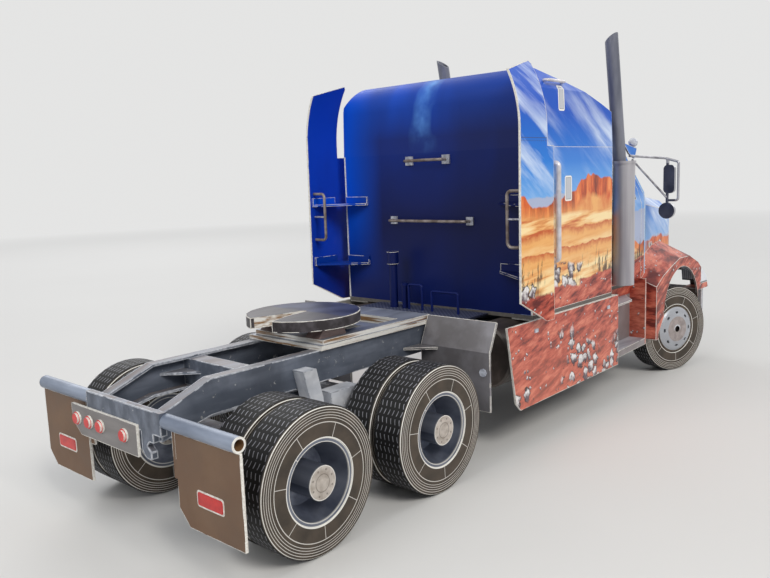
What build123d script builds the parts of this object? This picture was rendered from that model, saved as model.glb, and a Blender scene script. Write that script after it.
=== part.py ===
"""A card scale model, about 1:25, of a conventional 6x4 tractor unit with a sleeper.

Millimetres. +X is forward, +Y is the left side and +Z is up. Stations along the truck are written
from the rearmost axle, and save() moves them so that the origin lies under the middle of the truck.
"""
import os
from math import cos, radians, sin

from build123d import *

os.makedirs("parts", exist_ok=True)

# Card thicknesses and fits
card = 0.8
board = 1.5
seat_gap = 0.02
running_gap = 0.06
over = 1.0

# Tyres and the rear wheels' dished hubs
tyre_r = 21.3
tyre_width = 11.2
tyre_edge = 0.6
dual_gap = 1.6
spacer_r = 18.3
rim_r = 12.35
rim_setback = 0.3
rim_lip = 1.2
dish_mouth = 1.6
dish_mouth_depth = 2.0
dish_depth = 9.0
dish_floor_r = 8.6
hub_cap_r = 4.9
hub_cap_stand = 0.6
hub_end = 4.0
rear_face_y = 49.3

# Steered wheels' domed hubs
front_face_y = 49.3
dome_lip = 0.8
dome_edge_r = 10.15
dome_stand = 0.5
disc_r = 6.4
disc_stand = 1.3
centre_hole_r = 1.5
centre_hole_depth = 1.0
nave_r = 4.0
nave_depth = (1.0, 4.5)
nave_wall_depth = 2.0
hand_holes = 8
hand_hole = (1.9, 1.1)
hand_hole_r = 8.4

# Axles
spindle_r = 1.6
spindle_end = 4.5
tandem = 54.0
axle_tube_r = 3.0
axle_tube_end = 0.5
banjo_r = 7.6
banjo_half = 6.5
pinion_x = (3.0, 11.0)
pinion_r = (4.6, 2.6)
steer_x = 252.0
kingpin_y = 36.6
kingpin_r = 1.0
rest_steer = -20.0
beam_half_x = 1.6
beam_half_z = 2.0
beam_drop = 2.0
beam_drop_y = (20.0, 24.0)

# Steering gear
eye_half = 3.0
eye_r = 2.5
fork_gap = 0.15
fork_plate = 1.4
fork_web = (0.3, 1.7)
arm_length = 9.0
arm_half = 1.3
rod_pin_r = 0.6
rod_eye_r = 1.4
rod_half = 0.9
rod_depth = 1.4
rod_pin_stand = 0.3
front_spindle_end = 1.5

# Frame rails and crossmembers
rail_web_y = 17.2
rail_flange = 4.0
rail_top = 48.0
rail_depth = 10.5
rail_rear = -28.0
rail_front = 279.0
kick_x = -11.0
kick_drop = 6.5
kick_taper = 3.0
crossmember_x = (2.0, 104.0, 170.0, 225.0)
crossmember_width = 6.0
gusset_z = 43.0
gusset_reach = (7.0, 9.0)

# Suspension
spring_half = 24.0
spring_seat_half = 8.0
spring_z = (26.0, 28.6)
spring_end_z = (30.3, 31.5)
spring_block_half = 3.0
hanger_half = 1.5
bogie_width = 3.4
bogie_end = 4.0
bogie_depth = (3.0, 6.5)
bogie_crown = (19.0, 35.0)
bracket_x = (19.5, 25.0)
bracket_lean = 3.5
bracket_top = 44.0
bracket_width = 5.0
saddle_x = (30.0, 43.0)
saddle_z = (28.6, 35.1)
saddle_width = 6.0

# Rear end
crossbeam_depth = 2.0
crossbeam_half = 20.0
crossbeam_z = (36.5, 43.0)
hook_y = (-16.0, -10.0)
hook_bottom = 29.0
hook_notch = (31.0, 32.5, 34.0)
hanger_r = 2.1
hanger_bore = 1.5
hanger_z = 40.5
hanger_end = 51.5
flap_y = (24.0, 52.0)
flap_bottom = 13.0
flap_chamfer = 4.5
flap_stay_width = 4.6
flap_stay_bottom = 25.0
panel_y = (-9.0, 28.5)
panel_z = (28.8, 38.0)
panel_cut = (5.0, 4.0)
tail_lamp_y = (24.8, 17.6, 10.9, -2.4)
tail_lamp_z = 33.9
tail_lamp_r = 2.0
tail_lens_r = 1.56
tail_lamp_depth = 1.2

# Quarter fenders
quarter_gap = 5.9
quarter_bottom = 20.0
quarter_bend_z = 41.0
quarter_top = 51.0
quarter_lean = 5.4
quarter_inner_gap = 0.3
quarter_stay_z = 40.0
quarter_stay_reach = 8.2
quarter_lamp = (46.6, 34.0)
quarter_lamp_r = 1.5

# Coupling
plate_x = 40.6
plate_r = 19.7
plate_top = 58.0
plate_depth = 3.6
throat_r = 1.05
throat_funnel = (9.0, 2.2)
mouth_half = 6.2
base_ahead = 8.8
base_behind = 9.6
base_half = 18.5
base_step = (2.0, 1.5, 1.2)
well_x = (46.0, 58.0)
well_half = 11.0
slot_x = (64.0, 75.0)
slot_half = 13.0
saddle_foot_x = (33.2, 46.0)
saddle_head_x = (36.0, 44.5)
saddle_y = (8.5, 15.0)
cross_tube_x = (38.6, 42.6)
cross_tube_half = 9.0
catwalk_half = 28.0
catwalk_gap = 0.5

# Sleeper
wall_x = 112.0
sleeper_front = 177.0
body_half = 48.0
floor_z = rail_top
joint_z = 112.0
shoulder = (body_half - 0.8, 133.5)
crown = (body_half - 6.5, 141.5)
roof_rear_r = 11.0
roof_fall = ((124.0, 0.0), (144.0, 5.0), (168.0, 12.0), (sleeper_front, 15.0))
doorway_half = 20.0
doorway_head = 8.0

# Side extenders, which stand out from the sleeper and curl inward at the top
fin_gap = 5.2
fin_behind = 17.4
fin_lap = 5.5
fin_step = 1.0
fin_foot = rail_top
fin_heel = (5.0, 9.0)
fin_head = (0.8, 138.0)
fin_top = 142.4
fin_curl_z = 118.0
fin_curl_r = 45.0
bracket_z = (91.0, 65.0)
bracket_inner_y = 34.5
bracket_flange = 3.6
bracket_inset = (1.5, 2.5)

# Wire rails, handles and the posts behind the sleeper
wire_r = 0.6
wall_rail_stand = 4.2
wall_rails = (
    # y from, y to, height, pad
    (9.8, -9.2, 109.0, 3.6),
    (19.1, -20.3, 84.6, 3.2),
)
fin_handle_ahead = 2.9
fin_handle_z = (76.5, 96.5)
fin_handle_stand = 6.5
side_rail_x = 127.0
side_rail_z = (69.0, 105.7)
side_rail_r = 1.1
side_rail_stand = 2.4
roof_rail_x = (125.0, 138.0)
roof_rail_z = 136.5
roof_rail_stand = 1.9
posts = (
    # y, radius, top, cap radius, cap height
    (14.0, 1.7, 67.0, 2.4, 5.0),
    (8.0, 1.2, 58.0, 1.5, 1.2),
)
post_back = 8.0
hoops = (
    # y from, y to, top
    (5.0, -2.0, 59.0),
    (-7.0, -20.0, 57.0),
)
hoop_back = 9.0
hoop_r = 0.5

# Cab
cab_half = 41.0
cab_front = 227.0
cab_roof_z = 114.0
screen_top_x = 208.0
screen_height = 23.0
brow_back = 6.0
brow_rise = 0.6
brow_fall = 1.6
screen_base_z = cab_roof_z - screen_height
waist_z = screen_base_z - 5.0
cab_lean = 3.0
cab_eave = (7.0, 5.0)
cab_crown = 1.0
door_x = (sleeper_front + 8.0, cab_front - 4.5)
door_shoulder = (screen_top_x - 1.5, cab_front - 7.5)
door_head = cab_roof_z - 6.4
window_x = (door_x[0] + 4.0, screen_top_x - 3.0, cab_front - 11.0, cab_front - 10.0)
window_z = (waist_z + 2.0, screen_base_z + 3.0, cab_roof_z - 8.0)
pane_y = (2.0, 33.0)
pane_edge = 3.5
pane_head = 6.6
glass = 0.25
glass_lap = 0.8
visor_foot = 4.0
visor_reach = 14.0
visor_fall = 3.4
visor_half = cab_half - 2.5
visor_cheek_x = (1.5, 6.0, 12.0)
visor_cheek_drop = (4.0, 4.0)

# Cab interior
seat_y = 19.0
seat_half = 8.0
seat_x = (188.0, 204.0)
seat_heights = (11.0, 15.0, 35.0)
seat_lean = 4.0
dash_x = (212.0, 216.0)
dash_z = (14.0, 26.0)
wheel_centre = (206.5, 30.0)
wheel_r = 7.8
wheel_rim = 1.0

# Hood and grille
hood_rear_half = 37.0
hood_fall = 6.5
hood_shoulder_half = 31.0
nose_x = 287.0
nose_back = 8.0
nose_half = 28.5
nose_fall = 12.0
hood_corner = 5.0
hood_foot = rail_top + 0.4
grille_half = 22.0
grille_head = 3.0
grille_foot = 38.0
grille_corner = 3.0
grille_rim = 1.6
grille_bars = 13
grille_bar = 1.0
grille_stand = 0.8

# Front fenders, headlamps and bumper
fender_inner_y = 33.0
arch_x = 253.5
arch_z = 30.0
arch_r = 22.5
arch_rear_x = 224.7
headlamp_x = (279.5, 292.0)
headlamp_y = 36.0
headlamp_z = (40.5, 50.0)
bumper_front = 293.0
bumper_rear = 280.5
bumper_z = (25.0, 37.0)
bumper_corner = (6.0, 8.0, 1.5)
intake_half = 14.0
intake_z = (27.5, 31.5)
fog_lamp_y = 29.0
fog_lamp_r = 2.6
stay_z = (32.5, 36.0, 46.0)

# Skirts, steps and tanks
skirt_stand = 1.3
skirt_behind = 9.8
skirt_front = 181.0
skirt_z = (15.8, 48.0)
skirt_heel = (7.0, 10.0, 3.0)
skirt_fold = 10.5
step_front = 222.0
step_back_y = 40.0
step_end = (9.0, 1.6)
step_end_top = 51.0
step_upper = (15.5, 0.8, 27.0)
step_upper_top = 43.5
step_z = (19.6, 22.5)
tank_r = 12.2
tank_gap = 0.9
tank_drop = 0.6
tank_x = (97.0, 178.0)
tank_chamfer = 0.8
tank_bracket_x = (115.0, 158.0)
tank_bracket_width = 4.0

# Exhaust stacks and mirrors
muffler_r = 4.7
muffler_rim = 0.4
muffler_gap = 0.2
muffler_top = 106.0
muffler_foot = 50.8
stack_x = 193.0
pipe_r = 2.8
pipe_bore = 2.2
pipe_offset = (0.8, 1.7)
pipe_lean = (-0.2, 0.015)
pipe_length = 53.5
pipe_depth = 18.0
pipe_mouth = 35.0
mirror_x = cab_front + 10.0
mirror_y = (cab_half + 4.9, cab_half + 10.3)
mirror_z = (cab_roof_z - 24.0, cab_roof_z - 10.4)
mirror_half = 0.9
mirror_corner = 2.0
mirror_arm_x = (screen_top_x + 6.0, screen_top_x + 8.5)
mirror_arm_z = (cab_roof_z - 5.6, cab_roof_z - 7.4)
mirror_elbow = (cab_half + 5.2, cab_roof_z - 7.1)
mirror_loop = (cab_half + 11.9, cab_roof_z - 9.1, cab_roof_z - 27.4)
spot_mirror = (cab_half + 6.6, cab_roof_z - 32.4)
spot_mirror_r = 3.9
mirror_stem_r = 0.75
brace_r = 0.5

# Marker lamps
roof_lamps = (
    # y, behind the visor's edge
    (0.0, 9.0),
    (15.0, 9.0),
    (visor_half - 1.2, 1.3),
)
roof_lamp_r = 2.2
roof_lamp_tail = (0.6, 4.0)
side_lamp = (2.4, 1.4)
side_lamp_x = (112.0, 171.0)
side_lamp_z = 44.0

quarter_x = tandem + tyre_r + quarter_gap
base_x = (plate_x - base_behind, quarter_x + base_ahead)
skirt_rear = quarter_x + skirt_behind
fin_y = body_half + fin_gap + card
fin_rear = wall_x - fin_behind
skirt_y = body_half + skirt_stand
fender_y = skirt_y
tank_y = skirt_y - card - tank_gap - tank_r
tank_z = rail_top - tank_drop - tank_r
stack_y = cab_half + muffler_r + muffler_gap
rail_bottom = rail_top - rail_depth
hub_r = rim_r - seat_gap
eye_z = (tyre_r - eye_half, tyre_r + eye_half)
arm_z = (eye_z[0] - fork_gap - fork_plate, eye_z[0] - fork_gap)
rod_z = (arm_z[0] - fork_gap - rod_depth, arm_z[0] - fork_gap)
rear_end = rail_rear - crossbeam_depth - card - tail_lamp_depth
origin_x = (rear_end + bumper_front) / 2
across = Plane.XZ


def save(node, *pieces):
    """Write one node, moved from the rear axle's station to the origin under the middle."""
    moved = [Pos(-origin_x, 0, 0) * piece for piece in pieces]
    export_step(moved[0] if len(moved) == 1 else Compound(children=moved), f"parts/{node}.step")


def both(piece):
    """A left-hand piece and its mirror image."""
    return piece, mirror(piece, about=across)


def outline(points):
    return make_face(Polyline(*points, close=True))


def block(x, y, z):
    """A box between two stations, two widths and two heights."""
    centre = Pos((x[0] + x[1]) / 2, (y[0] + y[1]) / 2, (z[0] + z[1]) / 2)
    return centre * Box(x[1] - x[0], y[1] - y[0], z[1] - z[0])


def side_plate(face, y):
    """A face drawn in x and z, made solid from y[0] to y[1]."""
    return extrude(Plane.XZ.offset(-y[1]) * face, y[1] - y[0])


def cross_plate(face, x):
    """A face drawn in y and z, made solid from x[0] to x[1]."""
    return extrude(Plane.YZ.offset(x[0]) * face, x[1] - x[0])


def flat_plate(face, z):
    """A face drawn in x and y, made solid from z[0] to z[1]."""
    return extrude(Plane.XY.offset(z[0]) * face, z[1] - z[0])


def cross_disc(x, z, y, radius, bore=0.0):
    """A disc or tube on an axis across the truck."""
    face = Circle(radius) - Circle(bore) if bore else Circle(radius)
    return side_plate(Pos(x, z) * face, y)


def rod(points, radius, bend):
    """A bent wire through the given points."""
    path = FilletPolyline(*points, radius=bend) if len(points) > 2 else Line(*points)
    start = Plane(origin=points[0], z_dir=path % 0)
    return sweep(start * Circle(radius), path)


def inset(face, amount):
    return offset(face, -amount, kind=Kind.INTERSECTION) if amount else face


def centred(middle, half):
    return middle - half, middle + half


def mirrored(side, near, far):
    """The two widths between near and far on the side +1 or -1, lowest first."""
    return sorted((side * near, side * far))


# Wheels: flat card cylinders, each with a hub


def tyre(y_out, side):
    """One tyre with its outer face at y_out on the side +1 or -1."""
    ring = cross_disc(0, tyre_r, mirrored(side, y_out, y_out - tyre_width), tyre_r, rim_r)
    edges = ring.edges().filter_by(GeomType.CIRCLE).group_by(SortBy.RADIUS)[-1]
    return chamfer(edges, tyre_edge)


def revolved(points, side):
    """A round piece from distance-from-centre-line and radius pairs, on the wheel's axis."""
    face = outline([(radius, side * y) for y, radius in points])
    return Pos(0, 0, tyre_r) * revolve(face, Axis.Y)


def dual_wheel(x, side):
    """Two tyres side by side on one hub, and the hub with its deep dish and capped boss."""
    face = rear_face_y
    inner_face = face - 2 * tyre_width - dual_gap
    gap_y = mirrored(side, face - tyre_width, face - tyre_width - dual_gap)
    spacer = cross_disc(0, tyre_r, gap_y, spacer_r, rim_r)
    tyres = tyre(face, side) + spacer + tyre(face - tyre_width - dual_gap, side)
    bore = spindle_r + running_gap
    hub = revolved(
        [
            (inner_face, hub_r),
            (face - rim_setback, hub_r),
            (face - rim_setback, rim_r - rim_lip),
            (face - dish_mouth_depth, rim_r - dish_mouth),
            (face - dish_depth, dish_floor_r),
            (face - dish_depth, hub_cap_r),
            (face + hub_cap_stand, hub_cap_r),
            (face + hub_cap_stand, 0),
            (face - hub_end, 0),
            (face - hub_end, bore),
            (inner_face, bore),
        ],
        side,
    )
    return Pos(x, 0, 0) * tyres, Pos(x, 0, 0) * hub


def front_wheel(side):
    """A steered wheel: one tyre, and a hub with a domed disc and an open back for the knuckle."""
    face = front_face_y
    bore = spindle_r + running_gap
    back = face - tyre_width
    hub = revolved(
        [
            (back, hub_r),
            (face - rim_setback, hub_r),
            (face - rim_setback, rim_r - dome_lip),
            (face + dome_stand, dome_edge_r),
            (face + disc_stand, disc_r),
            (face + disc_stand, centre_hole_r),
            (face + disc_stand - centre_hole_depth, centre_hole_r),
            (face + disc_stand - centre_hole_depth, 0),
            (face - nave_depth[0], 0),
            (face - nave_depth[0], bore),
            (face - nave_depth[1], bore),
            (face - nave_depth[1], nave_r),
            (face - nave_wall_depth, rim_r - dish_mouth),
            (back, rim_r - rim_lip),
        ],
        side,
    )
    for slot in PolarLocations(hand_hole_r, hand_holes) * (Rot(0, 0, 90) * SlotOverall(*hand_hole)):
        hub -= Pos(0, 0, tyre_r) * side_plate(slot, mirrored(side, back, face + disc_stand + over))
    return tyre(face, side), hub


def steered(piece, side):
    """Turn a piece of the straight-ahead front wheel to the rest angle about its kingpin."""
    pin = Pos(steer_x, side * kingpin_y, 0)
    return pin * Rot(0, 0, rest_steer) * pin.inverse() * piece


# Axles and steering


def drive_axle(x):
    """A banjo axle with its spindles; the wheels turn on the spindles."""
    tube_half = rear_face_y - 2 * tyre_width - dual_gap - axle_tube_end
    axle = cross_disc(x, tyre_r, centred(0, tube_half), axle_tube_r)
    axle += cross_disc(x, tyre_r, centred(0, rear_face_y - spindle_end), spindle_r)
    axle += cross_disc(x, tyre_r, centred(0, banjo_half), banjo_r)
    nose = Cone(*pinion_r, pinion_x[1] - pinion_x[0])
    return axle + Pos(x + sum(pinion_x) / 2, 0, tyre_r) * Rot(0, 90, 0) * nose


def front_axle():
    """The beam between the kingpin eyes, dropped in the middle."""
    half, bend = kingpin_y, beam_drop_y
    top, bottom = tyre_r + beam_half_z, tyre_r - beam_half_z
    beam = cross_plate(
        outline(
            [
                (-half, top), (-bend[1], top), (-bend[0], top - beam_drop), (bend[0], top - beam_drop),
                (bend[1], top), (half, top), (half, bottom), (bend[1], bottom),
                (bend[0], bottom - beam_drop), (-bend[0], bottom - beam_drop), (-bend[1], bottom), (-half, bottom),
            ]
        ),
        centred(steer_x, beam_half_x),
    )
    for side in (1, -1):
        eye = Pos(steer_x, side * kingpin_y)
        hole = flat_plate(eye * Circle(kingpin_r + running_gap), (eye_z[0] - over, eye_z[1] + over))
        beam = beam + flat_plate(eye * Circle(eye_r), eye_z) - hole
    return beam


def knuckle(side):
    """A fork round the axle's eye with its kingpin, the wheel's spindle and a steering arm."""
    centre = Pos(steer_x, side * kingpin_y)
    top_z = (eye_z[1] + fork_gap, eye_z[1] + fork_gap + fork_plate)
    web_y = mirrored(side, kingpin_y + eye_r + fork_web[0], kingpin_y + eye_r + fork_web[1])
    ear_y = mirrored(side, kingpin_y, kingpin_y + eye_r + fork_web[1])
    ear = centre * Circle(eye_r) + Pos(steer_x, sum(ear_y) / 2) * Rectangle(2 * eye_r, ear_y[1] - ear_y[0])
    arm = Pos(steer_x - arm_length / 2, side * kingpin_y) * Rectangle(arm_length, 2 * arm_half)
    arm += Pos(steer_x - arm_length, side * kingpin_y) * Circle(arm_half)
    piece = flat_plate(ear, top_z) + flat_plate(ear + arm, arm_z)
    piece += block(centred(steer_x, eye_r), web_y, (arm_z[0], top_z[1]))
    piece += flat_plate(centre * Circle(kingpin_r), (arm_z[0], top_z[1]))
    spindle_y = mirrored(side, kingpin_y + eye_r + sum(fork_web) / 2, front_face_y - front_spindle_end)
    piece += cross_disc(steer_x, tyre_r, spindle_y, spindle_r)
    pin = Pos(steer_x - arm_length, side * kingpin_y) * Circle(rod_pin_r)
    return piece + flat_plate(pin, (rod_z[0] - rod_pin_stand, arm_z[0]))


def tie_rod():
    """The rod that joins the two steering arms, moved with them to the rest angle."""
    x = steer_x - arm_length
    bar = block(centred(x, rod_half), centred(0, kingpin_y), rod_z)
    for side in (1, -1):
        eye = Pos(x, side * kingpin_y)
        hole = flat_plate(eye * Circle(rod_pin_r + running_gap), (rod_z[0] - over, rod_z[1] + over))
        bar = bar + flat_plate(eye * Circle(rod_eye_r), rod_z) - hole
    swing = radians(rest_steer)
    return Pos(arm_length * (1 - cos(swing)), -arm_length * sin(swing), 0) * bar


def front_spring():
    """A leaf pack under the left rail, its hangers and the seat on the axle beam."""
    y = (rail_web_y - rail_flange, rail_web_y)
    ends, seat = centred(steer_x, spring_half), centred(steer_x, spring_seat_half)
    leaf = outline(
        [
            (ends[0], spring_end_z[1]), (seat[0], spring_z[1]), (seat[1], spring_z[1]), (ends[1], spring_end_z[1]),
            (ends[1], spring_end_z[0]), (seat[1], spring_z[0]), (seat[0], spring_z[0]), (ends[0], spring_end_z[0]),
        ]
    )
    piece = side_plate(leaf, y)
    piece += block(centred(steer_x, spring_block_half), y, (tyre_r, sum(spring_z) / 2))
    for station in ends:
        piece += block(centred(station, hanger_half), y, (spring_end_z[0], rail_bottom))
    return piece


# Frame


def frame_rail():
    """The left rail: a channel open to the middle that kicks down behind the tandem."""
    top_rear = rail_top - kick_drop
    profile = outline(
        [
            (rail_rear, top_rear), (kick_x, rail_top), (rail_front, rail_top),
            (rail_front, rail_bottom), (kick_x, rail_bottom),
            (rail_rear, top_rear - rail_depth + kick_taper),
        ]
    )
    rail = side_plate(profile, (rail_web_y - rail_flange, rail_web_y))
    return rail - side_plate(inset(profile, card), (rail_web_y - rail_flange - over, rail_web_y - card))


def crossmember(x, gussets):
    """A channel between the rails' webs, with corner gussets where it shows."""
    half = rail_web_y - card
    z = (rail_bottom + card + seat_gap, rail_top - card - seat_gap)
    piece = block((x, x + crossmember_width), centred(0, half), z)
    piece -= block((x + card, x + crossmember_width + over), centred(0, half + over), (z[0] + card, z[1] - card))
    if gussets:
        for side in (1, -1):
            corner = outline([(x, side * half), (x, side * gusset_reach[0]), (x - gusset_reach[1], side * half)])
            piece += flat_plate(corner, (gusset_z, gusset_z + card))
    return piece


def rear_crossbeam():
    """The beam across the rails' ends, with a tow hook cut from the same sheet."""
    x = (rail_rear - crossbeam_depth, rail_rear)
    beam = block(x, centred(0, crossbeam_half), crossbeam_z)
    left, right = hook_y
    low, middle, high = hook_notch
    hook = outline([(left, crossbeam_z[0]), (right, crossbeam_z[0]), (right, low), (right - 2, hook_bottom),
                    (left + 1.5, hook_bottom), (left + 1.5, low), (left + 3.5, middle), (left + 2, high),
                    (left, high)])
    return beam + cross_plate(hook, x)


def hanger():
    """A rolled tube that carries the left mudflap, open at its end."""
    return cross_disc(rail_rear, hanger_z, (crossbeam_half, hanger_end), hanger_r, hanger_bore)


def mudflap(side):
    """A flap with one corner cut off, stiffened by a strip down the front of its inner edge."""
    y = mirrored(side, *flap_y)
    top = hanger_z - hanger_r - seat_gap
    flap = outline([(y[0], flap_bottom), (y[0], top), (y[1], top), (y[1], flap_bottom + flap_chamfer),
                    (y[1] - flap_chamfer, flap_bottom)])
    x = centred(rail_rear, card / 2)
    stay_y = mirrored(side, flap_y[0] - flap_stay_width / 2, flap_y[0] + flap_stay_width / 2)
    return cross_plate(flap, x) + block((x[1] - card / 4, x[1] + card / 2), stay_y, (flap_stay_bottom, top))


def lamp_panel():
    """The tail lamps' panel, one lower corner cut off."""
    rear = rail_rear - crossbeam_depth
    right, left = panel_y
    low, high = panel_z
    face = outline([(right, low), (left - panel_cut[0], low), (left, low + panel_cut[1]), (left, high), (right, high)])
    return cross_plate(face, (rear - card, rear))


def tail_lamp(y):
    """A small stack of two discs on the panel."""
    rear = rail_rear - crossbeam_depth - card
    centre = Pos(y, tail_lamp_z)
    half = tail_lamp_depth / 2
    rim = cross_plate(centre * Circle(tail_lamp_r), (rear - half, rear))
    return rim + cross_plate(centre * Circle(tail_lens_r), (rear - tail_lamp_depth, rear - half))


def bogie_beam():
    """The equalising beam on the two axles and its brackets on the left rail."""
    low = tyre_r + axle_tube_r + seat_gap
    shallow, deep = low + bogie_depth[0], low + bogie_depth[1]
    beam = outline([(-bogie_end, low), (tandem + bogie_end, low), (tandem + bogie_end, shallow),
                    (bogie_crown[1], deep), (bogie_crown[0], deep), (-bogie_end, shallow)])
    y = (rail_web_y, rail_web_y + bogie_width)
    rear, front = bracket_x
    leg = outline([(rear, bracket_top), (front, bracket_top), (front + bracket_lean, deep - over),
                   (rear + bracket_lean, deep - over)])
    piece = side_plate(beam, y) + side_plate(leg, (rail_web_y, rail_web_y + bracket_width))
    return piece + block(saddle_x, (rail_web_y, rail_web_y + saddle_width), saddle_z)


# Coupling for the trailer


def coupling_base():
    """Two layers of board on the rails, open around the pedestal and ahead of it."""
    rear, front, side = base_step
    plate = block(base_x, centred(0, base_half), (rail_top, rail_top + board))
    plate += block((base_x[0] + rear, base_x[1] - front), centred(0, base_half - side),
                   (rail_top + board, rail_top + 2 * board))
    z = (rail_top - over, rail_top + 2 * board + over)
    return plate - block(well_x, centred(0, well_half), z) - block(slot_x, centred(0, slot_half), z)


def coupling_pedestal():
    """Two saddles on the base and the cross tube under the plate."""
    foot = rail_top + 2 * board
    head = plate_top - plate_depth
    saddle = outline([(saddle_foot_x[0], foot), (saddle_foot_x[1], foot), (saddle_head_x[1], head),
                      (saddle_head_x[0], head)])
    tube = block(cross_tube_x, centred(0, cross_tube_half), (foot + card, head))
    left, right = both(side_plate(saddle, saddle_y))
    return left + right + tube


def coupling_plate():
    """The round plate with its throat, which opens to the rear in a wide mouth."""
    disc = Pos(plate_x, 0) * Circle(plate_r)
    funnel_x, rear = plate_x - throat_funnel[0], plate_x - plate_r - over
    mouth = outline([(plate_x, throat_r), (funnel_x, throat_funnel[1]), (rear, mouth_half),
                     (rear, -mouth_half), (funnel_x, -throat_funnel[1]), (plate_x, -throat_r)])
    throat = mouth + Pos(plate_x, 0) * Circle(throat_r)
    return flat_plate(disc - throat, (plate_top - plate_depth, plate_top))


def catwalk():
    x = (base_x[1] + catwalk_gap, wall_x - catwalk_gap)
    return block(x, centred(0, catwalk_half), (rail_top, rail_top + card))


# Pieces beside the frame


def quarter_fender():
    """A folded sheet ahead of the left tandem wheels, and its stay from the rail."""
    x, low, bend, top = quarter_x, quarter_bottom, quarter_bend_z, quarter_top
    fold = outline([(x, low), (x + card, low), (x + card, bend), (x + quarter_lean, top),
                    (x + quarter_lean - card, top + card / 2), (x, bend + card / 4)])
    stay = outline([(x - quarter_stay_reach, rail_web_y), (x, rail_web_y), (x, base_half + quarter_stay_reach)])
    stay = flat_plate(stay, (quarter_stay_z, quarter_stay_z + card))
    return stay + side_plate(fold, (base_half + quarter_inner_gap, rear_face_y))


def tank():
    start = Plane(origin=(tank_x[0], tank_y, tank_z), z_dir=(1, 0, 0))
    body = extrude(start * Circle(tank_r), tank_x[1] - tank_x[0])
    return chamfer(body.edges().filter_by(GeomType.CIRCLE), tank_chamfer)


def tank_bracket(x):
    """A bracket from the left rail to the tank, hollowed to fit it."""
    piece = block((x, x + tank_bracket_width), (rail_web_y, tank_y), (rail_bottom, rail_top - 2 * board))
    start = Plane(origin=(x - over, tank_y, tank_z), z_dir=(1, 0, 0))
    return piece - extrude(start * Circle(tank_r + seat_gap), tank_bracket_width + 2 * over)


def side_skirt():
    """The left skirt beside the tank and its fold under the floor."""
    low, high = skirt_z
    toe, heel, rise = skirt_heel
    panel = outline([(skirt_rear + board, high), (skirt_front, high), (skirt_front, low + card),
                     (skirt_rear + heel, low), (skirt_rear + toe, low + rise)])
    inner_y = skirt_y - card
    fold = block((wall_x + over, skirt_front), (inner_y - skirt_fold, inner_y), (high - card, high))
    return side_plate(panel, (inner_y, skirt_y)) + fold


def step_box():
    """The two steps in the recess behind the left front fender, with the boards behind them."""
    rear, back, floor_top = skirt_front, step_back_y, skirt_z[1]
    end_x, end_y = step_front - step_end[0], skirt_y - step_end[1]
    piece = block((rear, step_front), (back - card, back), (step_z[0], floor_top))
    lower = outline([(rear, back), (rear, skirt_y), (end_x, end_y), (end_x, back)])
    upper = outline([(rear, back), (rear, skirt_y), (rear + step_upper[0], skirt_y - step_upper[1]),
                     (rear + step_upper[2], back)])
    piece += flat_plate(lower, step_z)
    piece += flat_plate(upper, (step_upper_top - card, step_upper_top))
    piece += block((end_x, end_x + card), (back, end_y), (step_z[0], floor_top))
    return piece + block((end_x, end_x + card), (cab_half + seat_gap, end_y), (floor_top, step_end_top))


# Sleeper


def sleeper_form(amount):
    """The sleeper's outer form, or the form inside walls of the given thickness."""
    section = outline(
        [
            (-body_half, floor_z), (-body_half, joint_z), (-shoulder[0], shoulder[1]), (-crown[0], crown[1]),
            (crown[0], crown[1]), shoulder, (body_half, joint_z), (body_half, floor_z),
        ]
    )
    roof = [(x, crown[1] - fall) for x, fall in roof_fall]
    profile = outline([(wall_x, floor_z), (wall_x, crown[1]), *roof, (sleeper_front, floor_z)])
    corner = profile.vertices().sort_by_distance((wall_x, crown[1], 0))[0]
    profile = fillet(corner, roof_rear_r)
    long_way = cross_plate(inset(section, amount), (wall_x - over, sleeper_front + over))
    return long_way & side_plate(inset(profile, amount), centred(0, body_half + over))


def sleeper_panels():
    """The roof cap above the joint, and the two sides, the rear and front walls below it."""
    shell = sleeper_form(0) - sleeper_form(card)
    long_x = (wall_x - over, sleeper_front + over)
    wide = centred(0, body_half + over)
    wall_z = (floor_z + board, joint_z)
    cap = shell & block(long_x, wide, (joint_z, crown[1] + over))
    walls = shell & block(long_x, wide, wall_z)
    left = walls & block(long_x, (body_half - card, body_half), wall_z)
    middle = centred(0, body_half - card)
    rear = block((wall_x, wall_x + card), middle, wall_z)
    front = block((sleeper_front - card, sleeper_front), middle, wall_z)
    doorway = block((sleeper_front - board, sleeper_front + over), centred(0, doorway_half),
                    (floor_z, joint_z - doorway_head))
    return cap, left, rear, front - doorway


def side_extender():
    """The left fin: a sheet lapping the sleeper's rear corner, curled inward above the joint."""
    level, rise = fin_heel
    edge = outline([(fin_rear, fin_foot + rise), (fin_rear + fin_head[0], fin_head[1]), (wall_x, fin_top),
                    (wall_x + fin_step, fin_top - over), (wall_x + fin_step, joint_z), (wall_x + fin_lap, joint_z),
                    (wall_x + fin_lap, fin_foot), (wall_x + fin_lap - level, fin_foot)])
    curl = Circle(fin_curl_r) - Circle(fin_curl_r - card)
    curl &= Pos(fin_curl_r / 2, fin_curl_r / 2) * Rectangle(fin_curl_r, fin_curl_r)
    upright = Pos(fin_y - card / 2, (fin_curl_z + fin_foot) / 2) * Rectangle(card, fin_curl_z - fin_foot)
    sheet = upright + Pos(fin_y - fin_curl_r, fin_curl_z) * curl
    return cross_plate(sheet, (fin_rear, wall_x + fin_lap)) & side_plate(edge, (fin_y - fin_curl_r, fin_y + over))


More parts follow.
